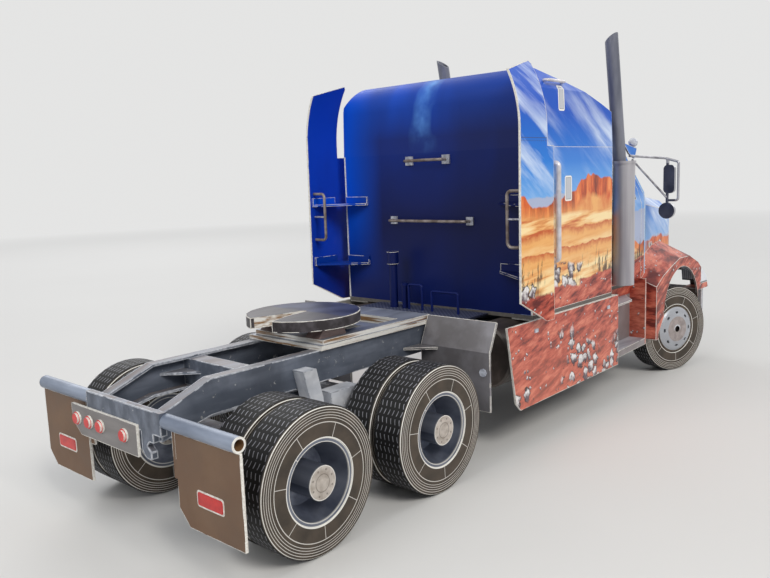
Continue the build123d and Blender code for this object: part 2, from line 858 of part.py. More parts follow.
def extender_bracket(z):
    """A folded strip from the left fin to the rear wall."""
    tail, nose = bracket_inset
    x, y = (fin_rear + tail, wall_x), (bracket_inner_y, fin_y - card)
    web = outline([(x[0], y[1]), (x[1] - nose, y[1]), (x[1], body_half - card), (x[1], y[0]), (x[1] - board, y[0])])
    top = z + bracket_flange
    strip = flat_plate(web, (z, z + card)) + block((x[1] - card, x[1]), (y[0], body_half - card), (z, top))
    return strip + block((x[0], x[1] - nose), (y[1] - card, y[1]), (z, top))


# Wire rails and the posts behind the sleeper


def wall_rail(start_y, end_y, z, pad):
    """A wire rail on two square pads on the rear wall."""
    x = wall_x - wall_rail_stand
    pad_x = (wall_x - card, wall_x)
    wire = rod([(pad_x[0], start_y, z), (x, start_y, z), (x, end_y, z), (pad_x[0], end_y, z)], wire_r, 2 * wire_r)
    for end in (start_y, end_y):
        wire += block(pad_x, centred(end, pad / 2), centred(z, pad / 2))
    return wire


def fin_handle():
    """The wire handle on the left fin's inner face."""
    x, y = fin_rear + fin_handle_ahead, fin_y - card
    low, high = fin_handle_z
    reach = y - fin_handle_stand
    return rod([(x, y, low), (x, reach, low), (x, reach, high), (x, y, high)], wire_r, 3 * wire_r)


def side_rail():
    """The upright grab rail on the sleeper's left side."""
    x, y = side_rail_x, body_half + seat_gap
    low, high = side_rail_z
    reach = y + side_rail_stand
    return rod([(x, y, low), (x, reach, low), (x, reach, high), (x, y, high)], side_rail_r, 1.2 * side_rail_r)


def roof_rail():
    """The short rail on the slope of the sleeper's roof."""
    slope = (shoulder[0] - crown[0]) / (crown[1] - shoulder[1])
    y = shoulder[0] - slope * (roof_rail_z - wire_r - shoulder[1]) + seat_gap
    low, high = roof_rail_x
    z, reach = roof_rail_z, y + roof_rail_stand
    return rod([(low, y, z), (low, reach, z), (high, reach, z), (high, y, z)], wire_r, 2 * wire_r)


def post(y, radius, top, cap_r, cap_height):
    """A connector post that stands on the catwalk."""
    centre = Pos(wall_x - post_back, y)
    column = flat_plate(centre * Circle(radius), (rail_top + card, top))
    return column + flat_plate(centre * Circle(cap_r), (top, top + cap_height))


def hoop(start_y, end_y, top):
    """A wire frame on the catwalk for the air lines."""
    x, foot = wall_x - hoop_back, rail_top + card
    return rod([(x, start_y, foot), (x, start_y, top), (x, end_y, top), (x, end_y, foot)], hoop_r, 2 * hoop_r)


# Cab


def cab_form(amount):
    """The cab's outer form, or the form inside walls of the given thickness."""
    eave_y, eave_z = cab_eave
    section = outline(
        [
            (-cab_half, floor_z), (-cab_half, waist_z), (-cab_half + cab_lean, cab_roof_z - eave_z),
            (-cab_half + eave_y, cab_roof_z + cab_crown), (cab_half - eave_y, cab_roof_z + cab_crown),
            (cab_half - cab_lean, cab_roof_z - eave_z), (cab_half, waist_z), (cab_half, floor_z),
        ]
    )
    profile = outline(
        [
            (sleeper_front, floor_z), (sleeper_front, cab_roof_z), (screen_top_x - brow_back, cab_roof_z + brow_rise),
            (screen_top_x, cab_roof_z - brow_fall), (cab_front, screen_base_z), (cab_front, floor_z),
        ]
    )
    long_way = cross_plate(inset(section, amount), (sleeper_front - over, cab_front + over))
    return long_way & side_plate(inset(profile, amount), centred(0, cab_half + over))


def cab_panels():
    """The cab's shell cut where its panels meet, with its windows open."""
    wide = centred(0, cab_half + over)
    back_open = block((sleeper_front - over, sleeper_front + card + 0.1), centred(0, cab_half - card),
                      (floor_z, cab_roof_z - 6))
    floor_top = floor_z + board
    room = block((sleeper_front, cab_front), wide, (floor_top, cab_roof_z + 2))
    shell = (cab_form(0) - cab_form(card) - back_open) & room
    roof_z = cab_roof_z - 5.6
    inner_x = cab_front - card - 0.05
    windscreen = outline([(screen_top_x + 3, roof_z), (cab_front + over, screen_base_z + 1.6),
                          (cab_front + over, floor_z), (inner_x, floor_z),
                          (inner_x, screen_base_z - over), (screen_top_x + 1.2, roof_z)])
    front_zone = side_plate(windscreen, wide)
    roof_zone = block((sleeper_front - over, cab_front), wide, (roof_z, cab_roof_z + 2))
    sill, knee, head = window_z
    side_window = outline([(window_x[0], sill), (window_x[0], head), (window_x[1], head), (window_x[2], knee),
                           (window_x[3], sill)])
    door = outline([(door_x[0], floor_top), (door_x[0], door_head), (door_shoulder[0], door_head),
                    (door_shoulder[1], screen_base_z + 2), (door_x[1], waist_z), (door_x[1], floor_top)])
    door_zone = side_plate(door, wide)
    window_zone = side_plate(side_window, wide)
    roof, rest = shell & roof_zone, shell - roof_zone
    sides, front = rest - front_zone, rest & front_zone
    pane_z = (screen_base_z + pane_edge, cab_roof_z - pane_head)
    screen_x = (screen_top_x - 4, cab_front + 2)
    for y in (pane_y, (-pane_y[1], -pane_y[0])):
        front -= block(screen_x, y, pane_z)
    doors = (sides & door_zone) - window_zone
    layer = cab_form(card) - cab_form(card + glass)
    side_glass = layer & side_plate(offset(side_window, glass_lap), wide)
    front_glass = layer & block(screen_x, centred(0, pane_y[1] + over), (pane_z[0] - over, pane_z[1]))
    front_glass -= side_plate(offset(side_window, glass_lap + 0.1), wide)
    return roof, sides - door_zone, front, doors, side_glass, front_glass


def visor_line(x):
    """The height of the visor's underside ahead of the brow."""
    brow_x = screen_top_x - brow_back
    share = (x - brow_x) / (brow_back + visor_reach)
    return cab_roof_z + brow_rise + seat_gap - visor_fall * share


def sun_visor():
    """The peak over the windscreen: a sloping blade with a cheek at each end."""
    brow_x, front = screen_top_x - brow_back, screen_top_x + visor_reach
    rear = brow_x - visor_foot
    rear_z = visor_line(brow_x) - brow_rise * visor_foot / (brow_x - sleeper_front)
    under = [(rear, rear_z), (brow_x, visor_line(brow_x)), (front, visor_line(front))]
    blade = outline(under + [(x, z + card) for x, z in reversed(under)])
    root, heel, toe = [screen_top_x + x for x in visor_cheek_x]
    cheek = outline([(root, visor_line(root)), (front, visor_line(front)),
                     (toe, visor_line(front) - visor_cheek_drop[0]), (heel, visor_line(root) - visor_cheek_drop[1])])
    left, right = both(side_plate(cheek, (visor_half - card, visor_half)))
    return side_plate(blade, centred(0, visor_half)) + left + right


def cab_floor():
    """The board under sleeper and cab that sits on the rails."""
    z = (floor_z, floor_z + board)
    rear = block((wall_x, sleeper_front), centred(0, body_half), z)
    return rear + block((sleeper_front, cab_front), centred(0, cab_half), z)


def seat(y):
    """A seat on its box, the back leaning."""
    z = floor_z + board
    rear, front = seat_x
    pad, cushion, head = seat_heights
    side = outline([(rear, z), (rear, z + pad), (rear - seat_lean, z + head - 1), (rear, z + head),
                    (rear + 4.5, z + cushion), (front, z + cushion + 1), (front, z + pad), (front - 3, z)])
    return side_plate(side, centred(y, seat_half))


def dashboard():
    """The dash under the windscreen with the steering column and wheel on the left."""
    z = floor_z + board
    x = cab_front - card - 0.3
    profile = outline([(x, z + dash_z[0]), (x, screen_base_z - 2.5), (dash_x[1], screen_base_z - 4),
                       (dash_x[0], z + dash_z[1]), (dash_x[1], z + dash_z[0])])
    dash = side_plate(profile, centred(0, cab_half - card - over))
    column = Plane(origin=(wheel_centre[0], seat_y, z + wheel_centre[1]), z_dir=(0.86, 0, -0.5))
    dash += extrude(column * Circle(0.9), 9)
    spokes = Circle(2.0) + Rectangle(1.4, 2 * wheel_r - wheel_rim)
    return dash + extrude(column * (spokes + (Circle(wheel_r) - Circle(wheel_r - wheel_rim))), card)


# Hood and front


def hood_section(x, half, top, amount, bottom):
    """The hood's outline across the truck at one station."""
    face = outline([(-half, bottom), (-half, top - hood_corner), (-half + hood_corner, top),
                    (half - hood_corner, top), (half, top - hood_corner), (half, bottom)])
    return Plane.YZ.offset(x) * inset(face, amount)


hood_stations = (
    # station, half width, top
    (cab_front + seat_gap, hood_rear_half, screen_base_z),
    (nose_x - nose_back, hood_shoulder_half, screen_base_z - hood_fall),
    (nose_x, nose_half, screen_base_z - nose_fall),
)


def hood_form(amount, bottom):
    return loft([hood_section(x, half, top, amount, bottom) for x, half, top in hood_stations], ruled=True)


def grille_face(amount):
    """The grille's opening in the nose, grown or shrunk by an amount."""
    top = screen_base_z - nose_fall - grille_head
    height = top - grille_foot
    rounded = RectangleRounded(2 * (grille_half + amount), height + 2 * amount, grille_corner + amount)
    return Pos(0, top - height / 2) * rounded


def hood():
    """The tilting hood's shell, open below and behind, with the grille's opening in front."""
    shell = hood_form(0, hood_foot) - hood_form(card, hood_foot - hood_corner)
    front = hood_section(nose_x - card, nose_half + 0.2, screen_base_z - nose_fall + 0.2, 0.2, hood_foot)
    return shell + extrude(front, card) - cross_plate(grille_face(0), (nose_x - 3, nose_x + over))


fender_outer = (
    # station, height
    (222, 20), (222, 46), (230, 50.5), (240, 54), (250, 57), (263, 57), (275, 52.5), (287, 44),
    (290, 37.4), (276, 37.4), (276, 20),
)
fender_inner = (
    # station, height
    (222, 20), (222, 52), (230, 57.5), (240, 61.5), (251, 64), (264, 64), (277, 60), (288.5, 51),
    (291, 37.4), (276, 37.4), (276, 20),
)


def fender_form(amount, y_out, y_in):
    faces = [Plane.XZ.offset(-y) * inset(outline(points), amount)
             for points, y in ((fender_outer, y_out), (fender_inner, y_in))]
    return loft(faces, ruled=True)


def fender():
    """The left fender: a hollow shell with its arch open, cut to the hood's side."""
    shell = fender_form(0, fender_y, fender_inner_y) - fender_form(card, fender_y - card, fender_inner_y - 4)
    arch = Pos(arch_x, arch_z) * Circle(arch_r)
    arch += outline([(arch_x - arch_r, arch_z), (arch_x + arch_r, arch_z), (arch_x + arch_r, 10), (arch_rear_x, 10),
                     (arch_rear_x, 22.6)])
    opening = side_plate(arch, (10, fender_y + over))
    inner_room = block((200, 300), (0, step_back_y), (10, 46))
    beside_cab = block((200, cab_front + seat_gap), (0, cab_half + seat_gap), (0, 200))
    return shell - opening - inner_room - beside_cab - hood_form(-seat_gap, rail_top - 30)


def headlamp_zone():
    return block(headlamp_x, (headlamp_y, fender_y + over), headlamp_z)


def headlamp():
    """The left lamp glass, which follows the fender's corner."""
    depth = 2 * card
    solid = fender_form(0, fender_y, fender_inner_y) - fender_form(depth, fender_y - depth, fender_inner_y - 4)
    return solid & headlamp_zone()


def bumper():
    """The wrap-round bumper, open behind, with its intake, fog lamp holes and stays."""
    y, x0, x1 = fender_y, bumper_rear, bumper_front
    side_x, face_y, tuck = bumper_corner
    z = (bumper_z[0] - over, bumper_z[1] + over)
    plan = outline([(x0, y), (x1 - side_x, y - tuck), (x1, y - face_y), (x1, face_y - y), (x1 - side_x, tuck - y),
                    (x0, -y)])
    shell = flat_plate(plan, bumper_z) - flat_plate(inset(plan, card), z)
    shell -= block((x0 - over, x0 + card + 0.1), centred(0, y - card), z)
    front_x = (x1 - 2 * card, x1 + over)
    shell -= block(front_x, centred(0, intake_half), intake_z)
    for side in (1, -1):
        shell -= cross_plate(Pos(side * fog_lamp_y, sum(bumper_z) / 2) * Circle(fog_lamp_r), front_x)
    stay_y = (rail_web_y - rail_flange, rail_web_y)
    low, high, top = stay_z
    stay = block((rail_front, rail_front + card), stay_y, (low, top))
    stay += block((rail_front, x1 - card), stay_y, (low, high))
    return shell + stay + mirror(stay, about=across)


def grille():
    """A frame with upright bars in the hood's nose."""
    x = (nose_x - card, nose_x + grille_stand)
    rim = cross_plate(grille_face(-seat_gap) - grille_face(-grille_rim), x)
    bar_x = (x[0], x[1] - grille_stand / 2)
    hole_half = grille_half - grille_rim
    pitch = 2 * hole_half / (grille_bars + 1)
    bars = Sketch()
    for index in range(grille_bars):
        bars += Pos(pitch * (index + 1) - hole_half, grille_foot) * Rectangle(grille_bar, 200)
    return rim + cross_plate(bars & grille_face(-grille_rim / 2), bar_x)


# Stacks, mirrors and lamps


def stack():
    """The left exhaust: a silencer with a rim and a thinner leaning pipe, cut to open inward."""
    foot, top = muffler_foot, muffler_top
    centre = Pos(stack_x, stack_y)
    piece = flat_plate(centre * Circle(muffler_r), (foot, top - muffler_rim))
    piece += flat_plate(centre * Circle(muffler_r + muffler_rim), (top - 3 * muffler_rim, top))
    root = (stack_x - pipe_offset[0], stack_y - pipe_offset[1], top - over)
    lean = Plane(origin=root, z_dir=(*pipe_lean, 1))
    pipe = extrude(lean * Circle(pipe_r), pipe_length + pipe_r)
    bore = extrude(lean.offset(pipe_length - pipe_depth) * Circle(pipe_bore), pipe_depth + 2 * pipe_r)
    mouth = Pos(*lean.offset(pipe_length).origin) * Rot(pipe_mouth, 0, 0)
    return piece + (pipe - bore - mouth * Pos(0, 0, 3 * pipe_r) * Box(6 * pipe_r, 6 * pipe_r, 6 * pipe_r))


def cab_side_y(z):
    """The cab side's distance from the centre line between the waist and the roof's edge."""
    return cab_half - cab_lean * (z - waist_z) / (cab_roof_z - cab_eave[1] - waist_z)


def mirror_set():
    """The left mirror: a wire loop from the cab's eave, a brace, the tall head and the round one below."""
    x, (elbow_y, elbow_z) = mirror_x, mirror_elbow
    loop_y, loop_top, loop_bottom = mirror_loop
    high, low = mirror_arm_z
    spot_y, spot_z = spot_mirror
    arms = rod([(mirror_arm_x[0], cab_side_y(high) + wire_r, high), (x, elbow_y, elbow_z), (x, loop_y, loop_top),
                (x, loop_y, loop_bottom), (x, spot_y, loop_bottom)], wire_r, 2 * wire_r)
    arms += rod([(mirror_arm_x[1], cab_side_y(low) + wire_r, low), (x, spot_y, loop_bottom + 1.5 * wire_r)], brace_r, 0)
    head = block(centred(x, mirror_half), mirror_y, mirror_z)
    head = fillet(head.edges().filter_by(Axis.X), mirror_corner)
    disc = Plane(origin=(x - mirror_half, spot_y, spot_z), z_dir=(1, 0, 0))
    head += extrude(disc * Circle(spot_mirror_r), 2 * mirror_half)
    stem_top = elbow_z - (elbow_z - loop_top) * (spot_y - elbow_y) / (loop_y - elbow_y)
    return arms + head + flat_plate(Pos(x, spot_y) * Circle(mirror_stem_r), (spot_z, stem_top))


def roof_lamp(y, back):
    """A bullet lamp on the visor, its dome forward."""
    tip_r, length = roof_lamp_tail
    x = screen_top_x + visor_reach - back
    foot_r = roof_lamp_r / 2
    z = visor_line(x - foot_r) + card + seat_gap + roof_lamp_r
    body = Pos(-length / 2, 0, 0) * Rot(0, -90, 0) * Cone(roof_lamp_r, tip_r, length)
    return Pos(x, y, z) * (Sphere(roof_lamp_r) + body + flat_plate(Circle(foot_r), (-roof_lamp_r, 0)))


def quarter_lamp_piece():
    """An eight-sided marker on the left quarter fender's back."""
    face = Pos(*quarter_lamp) * RegularPolygon(quarter_lamp_r, 8)
    return cross_plate(face, (quarter_x - card / 2, quarter_x))


def side_lamp_piece(x):
    """A small marker lamp on the left skirt."""
    wide, high = side_lamp
    return block(centred(x, wide / 2), (skirt_y, skirt_y + card / 2), centred(side_lamp_z, high / 2))


def main():
    left_rail = frame_rail()
    save("frame_rails", *both(left_rail))
    save("frame_crossmembers", *[crossmember(x, x == crossmember_x[0]) for x in crossmember_x])
    save("rear_crossbeam", rear_crossbeam())
    save("mudflap_hangers", *both(hanger()))
    save("mudflaps", mudflap(1), mudflap(-1))
    save("lamp_panel", lamp_panel())
    save("tail_lamps", *[tail_lamp(y) for y in tail_lamp_y])
    save("fifth_wheel_base", coupling_base())
    save("fifth_wheel_pedestal", coupling_pedestal())
    save("fifth_wheel_plate", coupling_plate())
    save("catwalk", catwalk())
    save("quarter_fenders", *both(quarter_fender()))
    save("drive_axles", drive_axle(0.0), drive_axle(tandem))
    save("bogie_beams", *both(bogie_beam()))
    save("front_axle", front_axle())
    save("front_springs", *both(front_spring()))
    save("fuel_tanks", *both(tank()))
    save("tank_brackets", *[piece for x in tank_bracket_x for piece in both(tank_bracket(x))])
    save("side_skirts", *both(side_skirt()))
    save("step_boxes", *both(step_box()))

    for side, name in ((1, "left"), (-1, "right")):
        for x, place in ((0.0, "rear"), (tandem, "middle")):
            tyres, hub = dual_wheel(x, side)
            save(f"tyres_{place}_{name}", tyres)
            save(f"hub_{place}_{name}", hub)
        front_tyre, front_hub = front_wheel(side)
        save(f"tyre_front_{name}", steered(Pos(steer_x, 0, 0) * front_tyre, side))
        save(f"hub_front_{name}", steered(Pos(steer_x, 0, 0) * front_hub, side))
        save(f"knuckle_{name}", steered(knuckle(side), side))
    save("tie_rod", tie_rod())

    cap, side_wall, rear, front = sleeper_panels()
    save("sleeper_roof", cap)
    save("sleeper_sides", *both(side_wall))
    save("sleeper_rear_wall", rear)
    save("sleeper_front_wall", front)
    save("side_extenders", *both(side_extender()))
    save("extender_brackets", *[piece for z in bracket_z for piece in both(extender_bracket(z))])
    rails = [wall_rail(*row) for row in wall_rails]
    save("grab_rails", *rails, *both(fin_handle()), *both(side_rail()), *both(roof_rail()))
    save("air_line_posts", *[post(*row) for row in posts], *[hoop(*row) for row in hoops])

    roof, frames, screen, doors, side_glass, front_glass = cab_panels()
    save("cab_roof", roof)
    save("cab_sides", *frames.solids())
    save("windscreen_frame", *screen.solids())
    save("cab_doors", *doors.solids())
    save("glazing", *side_glass.solids(), *front_glass.solids())
    save("sun_visor", sun_visor())
    save("cab_floor", cab_floor())
    save("seats", seat(seat_y), seat(-seat_y))
    save("dashboard", dashboard())
    save("hood", hood())
    left_fender = fender() - headlamp_zone()
    save("fenders", *both(left_fender))
    save("headlamps", *both(headlamp()))
    save("bumper", bumper())
    save("grille", grille())
    save("exhaust_stacks", *both(stack()))
    save("mirrors", *both(mirror_set()))
    lamps = [roof_lamp(0.0, roof_lamps[0][1])]
    lamps += [piece for row in roof_lamps[1:] for piece in both(roof_lamp(*row))]
    lamps += [piece for x in side_lamp_x for piece in both(side_lamp_piece(x))]
    lamps += both(quarter_lamp_piece())
    save("marker_lamps", *lamps)


main()
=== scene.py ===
from math import cos, pi, radians, sin

import bmesh
import bpy
from mathutils import Matrix, Vector, noise


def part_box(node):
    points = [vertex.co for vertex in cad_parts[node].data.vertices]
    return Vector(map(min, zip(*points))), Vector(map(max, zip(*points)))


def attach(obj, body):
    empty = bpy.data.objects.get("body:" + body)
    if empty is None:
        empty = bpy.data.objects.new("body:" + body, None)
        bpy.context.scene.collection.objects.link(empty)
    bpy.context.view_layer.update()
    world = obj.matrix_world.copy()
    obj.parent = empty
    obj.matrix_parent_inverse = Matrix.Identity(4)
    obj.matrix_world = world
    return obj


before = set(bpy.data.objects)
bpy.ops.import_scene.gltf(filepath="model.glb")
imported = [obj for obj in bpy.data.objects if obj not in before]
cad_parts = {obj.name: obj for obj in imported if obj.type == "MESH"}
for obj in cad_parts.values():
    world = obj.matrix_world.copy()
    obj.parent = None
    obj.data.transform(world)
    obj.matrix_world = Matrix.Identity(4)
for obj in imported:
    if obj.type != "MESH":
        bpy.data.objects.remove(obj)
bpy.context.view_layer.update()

# Looks, light and camera for a card model of a decorated tractor unit, in metres.
# Stations along the truck are in millimetres from the rearmost axle.

MM = 0.001
SIDES = (("left", 1), ("right", -1))
AXLE = sum((corner.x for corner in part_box("tyres_rear_left")), 0.0) / 2
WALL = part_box("sleeper_rear_wall")[0].x
JOINT_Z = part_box("sleeper_roof")[0].z
TYRE_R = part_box("tyres_rear_left")[1].z / 2


def middle_of(node):
    return sum(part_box(node), Vector()) / 2


PLATE = middle_of("fifth_wheel_plate")


def at(station, across, height):
    """A point from its station, its distance to the left and its height, all in millimetres."""
    return Vector((AXLE + station * MM, across * MM, height * MM))


def x_at(station):
    return AXLE + station * MM


# Camera, solved from the photograph

PHOTO_WIDTH = 770
FOCAL_PX = 774.08
SENSOR = 36.0
CAMERA_AT = (-0.26661, -0.19898, 0.10348)
CAMERA_PITCH = radians(-8.337)
CAMERA_ROLL = radians(2.110)
CAMERA_YAW = radians(-47.763)


def linear(*rgb):
    """A colour written as it shows on the screen, from 0 to 255, as Blender reads it."""
    return tuple((c / 255 / 12.92) if c <= 10 else ((c / 255 + 0.055) / 1.055) ** 2.4 for c in rgb) + (1.0,)


PAPER_WHITE = linear(234, 232, 226)
PAPER_WORN = linear(196, 190, 180)
BROWN_BOARD = linear(146, 112, 78)
INTERIOR = linear(92, 88, 84)

# Sockets of the mix node that carry colours
MIX_FIRST = 6
MIX_SECOND = 7
MIX_RESULT = 2


class Shade:
    """A material's node tree, built with short calls. Places are in metres on the resting model."""

    def __init__(self, name, roughness=0.6, metallic=0.0, coat=0.0):
        self.material = bpy.data.materials.new(name)
        self.material.use_nodes = True
        self.nodes = self.material.node_tree.nodes
        self.links = self.material.node_tree.links
        self.surface = self.nodes["Principled BSDF"]
        self.surface.inputs["Roughness"].default_value = roughness
        self.surface.inputs["Metallic"].default_value = metallic
        self.surface.inputs["Coat Weight"].default_value = coat
        self.surface.inputs["Coat Roughness"].default_value = 0.25
        where = self.nodes.new("ShaderNodeTexCoord")
        self.place = where.outputs["Object"]
        self.x, self.y, self.z = self.split(self.place)
        self.normal = where.outputs["Normal"]
        self.normal_x, self.normal_y, self.normal_z = self.split(self.normal)

    def specular(self, level):
        self.surface.inputs["Specular IOR Level"].default_value = level

    def put(self, socket, value):
        if isinstance(value, bpy.types.NodeSocket):
            self.links.new(value, socket)
        else:
            socket.default_value = value

    def node(self, kind, *values, **settings):
        node = self.nodes.new(kind)
        for name, value in settings.items():
            setattr(node, name, value)
        for socket, value in zip(node.inputs, values):
            self.put(socket, value)
        return node

    def math(self, operation, *values):
        return self.node("ShaderNodeMath", *values, operation=operation).outputs[0]

    def add(self, a, b):
        return self.math("ADD", a, b)

    def less(self, a, b):
        return self.math("SUBTRACT", a, b)

    def times(self, first, *others):
        for other in others:
            first = self.math("MULTIPLY", first, other)
        return first

    def line(self, value, slope, start):
        """A straight line, not clamped."""
        return self.math("MULTIPLY_ADD", value, slope, start)

    def size(self, value):
        return self.math("ABSOLUTE", value)

    def over(self, value, limit):
        """1 where the value is over the limit."""
        return self.math("GREATER_THAN", value, limit)

    def under(self, value, limit):
        """1 where the value is under the limit."""
        return self.math("LESS_THAN", value, limit)

    def length(self, a, b):
        """How far a place is that lies a one way and b the other."""
        return self.math("SQRT", self.add(self.times(a, a), self.times(b, b)))

    def split(self, vector):
        return self.node("ShaderNodeSeparateXYZ", vector).outputs

    def join(self, x, y, z):
        return self.node("ShaderNodeCombineXYZ", x, y, z).outputs[0]

    def ramp(self, value, low, high, to_low=0.0, to_high=1.0):
        """A clamped straight line from low to high."""
        return self.node("ShaderNodeMapRange", value, low, high, to_low, to_high).outputs[0]

    def band(self, value, low, high, soft):
        """1 between two limits, with soft edges."""
        past_low = self.ramp(value, low - soft, low + soft)
        return self.times(past_low, self.ramp(value, high + soft, high - soft))

    def mix(self, share, a, b):
        node = self.nodes.new("ShaderNodeMix")
        node.data_type = "RGBA"
        self.put(node.inputs["Factor"], share)
        self.put(node.inputs[MIX_FIRST], a)
        self.put(node.inputs[MIX_SECOND], b)
        return node.outputs[MIX_RESULT]

    def grade(self, a, b, value, *limits):
        """From one colour to another as a value goes from its low limit to its high one."""
        return self.mix(self.ramp(value, *limits), a, b)

    def tones(self, a, b, scale, detail, low=0.35, high=0.65, stretch=None):
        """Two colours mingled by noise."""
        return self.grade(a, b, self.noise(scale, detail, stretch=stretch), low, high)

    def shift(self, vector, amount):
        return self.node("ShaderNodeVectorMath", vector, amount, operation="ADD").outputs[0]

    def scaled(self, vector, factors):
        return self.node("ShaderNodeVectorMath", vector, factors, operation="MULTIPLY").outputs[0]

    def turned(self, angle, vector=None, axis="Y_AXIS"):
        """The place, or another vector, turned about an axis of the truck."""
        node = self.nodes.new("ShaderNodeVectorRotate")
        node.rotation_type = axis
        self.put(node.inputs["Vector"], self.place if vector is None else vector)
        node.inputs["Angle"].default_value = angle
        return node.outputs[0]

    def noise(self, scale, detail=2.0, vector=None, stretch=None, roughness=0.5):
        """Noise between 0 and 1, stretched by three scales where given."""
        vector = self.place if vector is None else vector
        if stretch:
            vector = self.scaled(vector, stretch)
        node = self.nodes.new("ShaderNodeTexNoise")
        self.put(node.inputs["Vector"], vector)
        node.inputs["Scale"].default_value = scale
        node.inputs["Detail"].default_value = detail
        node.inputs["Roughness"].default_value = roughness
        return node.outputs["Fac"]

    def cells(self, scale, vector):
        """The nearest of many scattered points: its distance, its random value and the height above it."""
        node = self.nodes.new("ShaderNodeTexVoronoi")
        self.put(node.inputs["Vector"], vector)
        node.inputs["Scale"].default_value = scale
        height = self.less(self.split(vector)[2], self.split(node.outputs["Position"])[2])
        return node.outputs["Distance"], self.split(node.outputs["Color"])[0], height

    def bump(self, height, strength, distance):
        node = self.nodes.new("ShaderNodeBump")
        node.inputs["Strength"].default_value = strength
        node.inputs["Distance"].default_value = distance
        self.put(node.inputs["Height"], height)
        self.put(self.surface.inputs["Normal"], node.outputs[0])

    def colour(self, value):
        self.put(self.surface.inputs["Base Color"], value)
        return self.material

    def dress(self, colour, *names):
        """Gives some nodes this material, in a colour."""
        material = self.colour(colour)
        for name in names:
            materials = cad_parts[name].data.materials
            materials.clear()
            materials.append(material)

    def inner_side(self, outer, inner, middle):
        """The inner colour where a shell's face looks towards its middle."""
        away = self.node("ShaderNodeVectorMath", self.place, tuple(middle), operation="SUBTRACT").outputs[0]
        dot = self.node("ShaderNodeVectorMath", away, self.normal, operation="DOT_PRODUCT").outputs["Value"]
        return self.mix(self.under(dot, 0.0), outer, inner)

    def raw_card(self):
        """The cut edge of card: off-white, scuffed darker in places."""
        return self.tones(PAPER_WHITE, PAPER_WORN, 1500.0, 3.0, 0.40, 0.75)

    def raw_edges(self, colour, along, limit=0.35):
        """Raw card where the normal's part along the sheet's axis is under the limit."""
        return self.mix(self.under(self.size(along), limit), colour, self.raw_card())

    def fibre(self):
        """Paper fibre and the slight waves of hand-bent card."""
        waves = self.noise(26.0, 1.0)
        self.bump(self.line(waves, 9.0, self.noise(1900.0, 4.0)), 0.25, 0.12 * MM)


def placed(name, data):
    """A new object in the scene."""
    thing = bpy.data.objects.new(name, data)
    bpy.context.scene.collection.objects.link(thing)
    return thing


def meshed(name, form):
    mesh = bpy.data.meshes.new(name)
    form.to_mesh(mesh)
    form.free()
    return mesh


# Printed card: an open desert of no real place, in layers that follow the height

SKY_DEEP = linear(8, 78, 184)
SKY = linear(48, 130, 216)
SKY_PALE = linear(146, 194, 236)
WISP = linear(222, 234, 248)
HAZE = tuple((a + b) / 2 for a, b in zip(linear(186, 160, 166), SKY_PALE))
CLIFF_LIT = linear(240, 150, 84)
CLIFF = linear(206, 92, 44)
CLIFF_SHADE = linear(112, 42, 28)
SAND_LIT = linear(246, 220, 168)
SAND = linear(232, 172, 104)
SAND_SHADE = linear(192, 92, 50)
BRUSH = linear(58, 38, 36)
GROUND_LIT = linear(214, 128, 104)
GROUND = linear(176, 78, 62)
GROUND_SHADE = linear(92, 32, 30)
STONE_LIT = linear(226, 222, 222)
STONE_SHADE = linear(98, 84, 92)
STONE_FOOT = linear(44, 26, 28)
TABLET = linear(186, 188, 194)
DOT = linear(70, 62, 66)
STRIPE = linear(40, 42, 66)
LEDGE_LIT = linear(230, 142, 118)
SKIRT_INSIDE = linear(150, 146, 140)
FENDER_INSIDE = linear(70, 58, 52)

# Stations between which the hills fall and the red ground rises
HILLS_FALL = (190, 227)
GROUND_RISES = (180, 245)

# Opposite corners of the printed grips: a station and a height each
HIGH_GRIP = ((132.7, 125.5), (137.3, 135.1))
LOW_GRIP = ((136.4, 91.0), (141.9, 100.8))


def skyline(s, base, rise, scale, detail, seed):
    """A height that wanders along the truck."""
    wander = s.noise(scale, detail, vector=s.join(s.x, seed, 0.0), roughness=0.6)
    return s.line(wander, 2 * rise * MM, (base - rise) * MM)


def canyon_rim(s, base, step, seed):
    """A height that rises along the truck over sloping rock shelves."""
    line = s.join(s.x, seed, 0.0)
    wander = s.noise(19.0, 4.0, vector=line)
    height = s.line(s.noise(240.0, 4.0, vector=line), 2.4 * MM, base * MM)
    for level in (0.40, 0.50, 0.60):
        height = s.line(s.ramp(wander, level, level + 0.055), step * MM, height)
    return height


def below(s, line, soft=0.3 * MM):
    return s.ramp(s.less(line, s.z), -soft, soft)


def sky(s, foot=84, head=134):
    """Deep blue above, pale at the foot, with thin slanting clouds."""
    colour = s.grade(SKY, SKY_DEEP, s.z, (foot + 0.35 * (head - foot)) * MM, (head - 8) * MM)
    colour = s.grade(colour, SKY_PALE, s.z, (foot + 0.45 * (head - foot)) * MM, foot * MM, 0.0, 0.9)
    slant = s.turned(radians(-33))
    thin = s.noise(1.0, 5.0, vector=slant, stretch=(18.0, 14.0, 130.0), roughness=0.62)
    broad = s.noise(1.0, 2.0, vector=slant, stretch=(14.0, 9.0, 40.0))
    cloud = s.times(s.ramp(thin, 0.44, 0.68), s.ramp(broad, 0.46, 0.62), 0.8)
    return s.mix(cloud, colour, WISP)


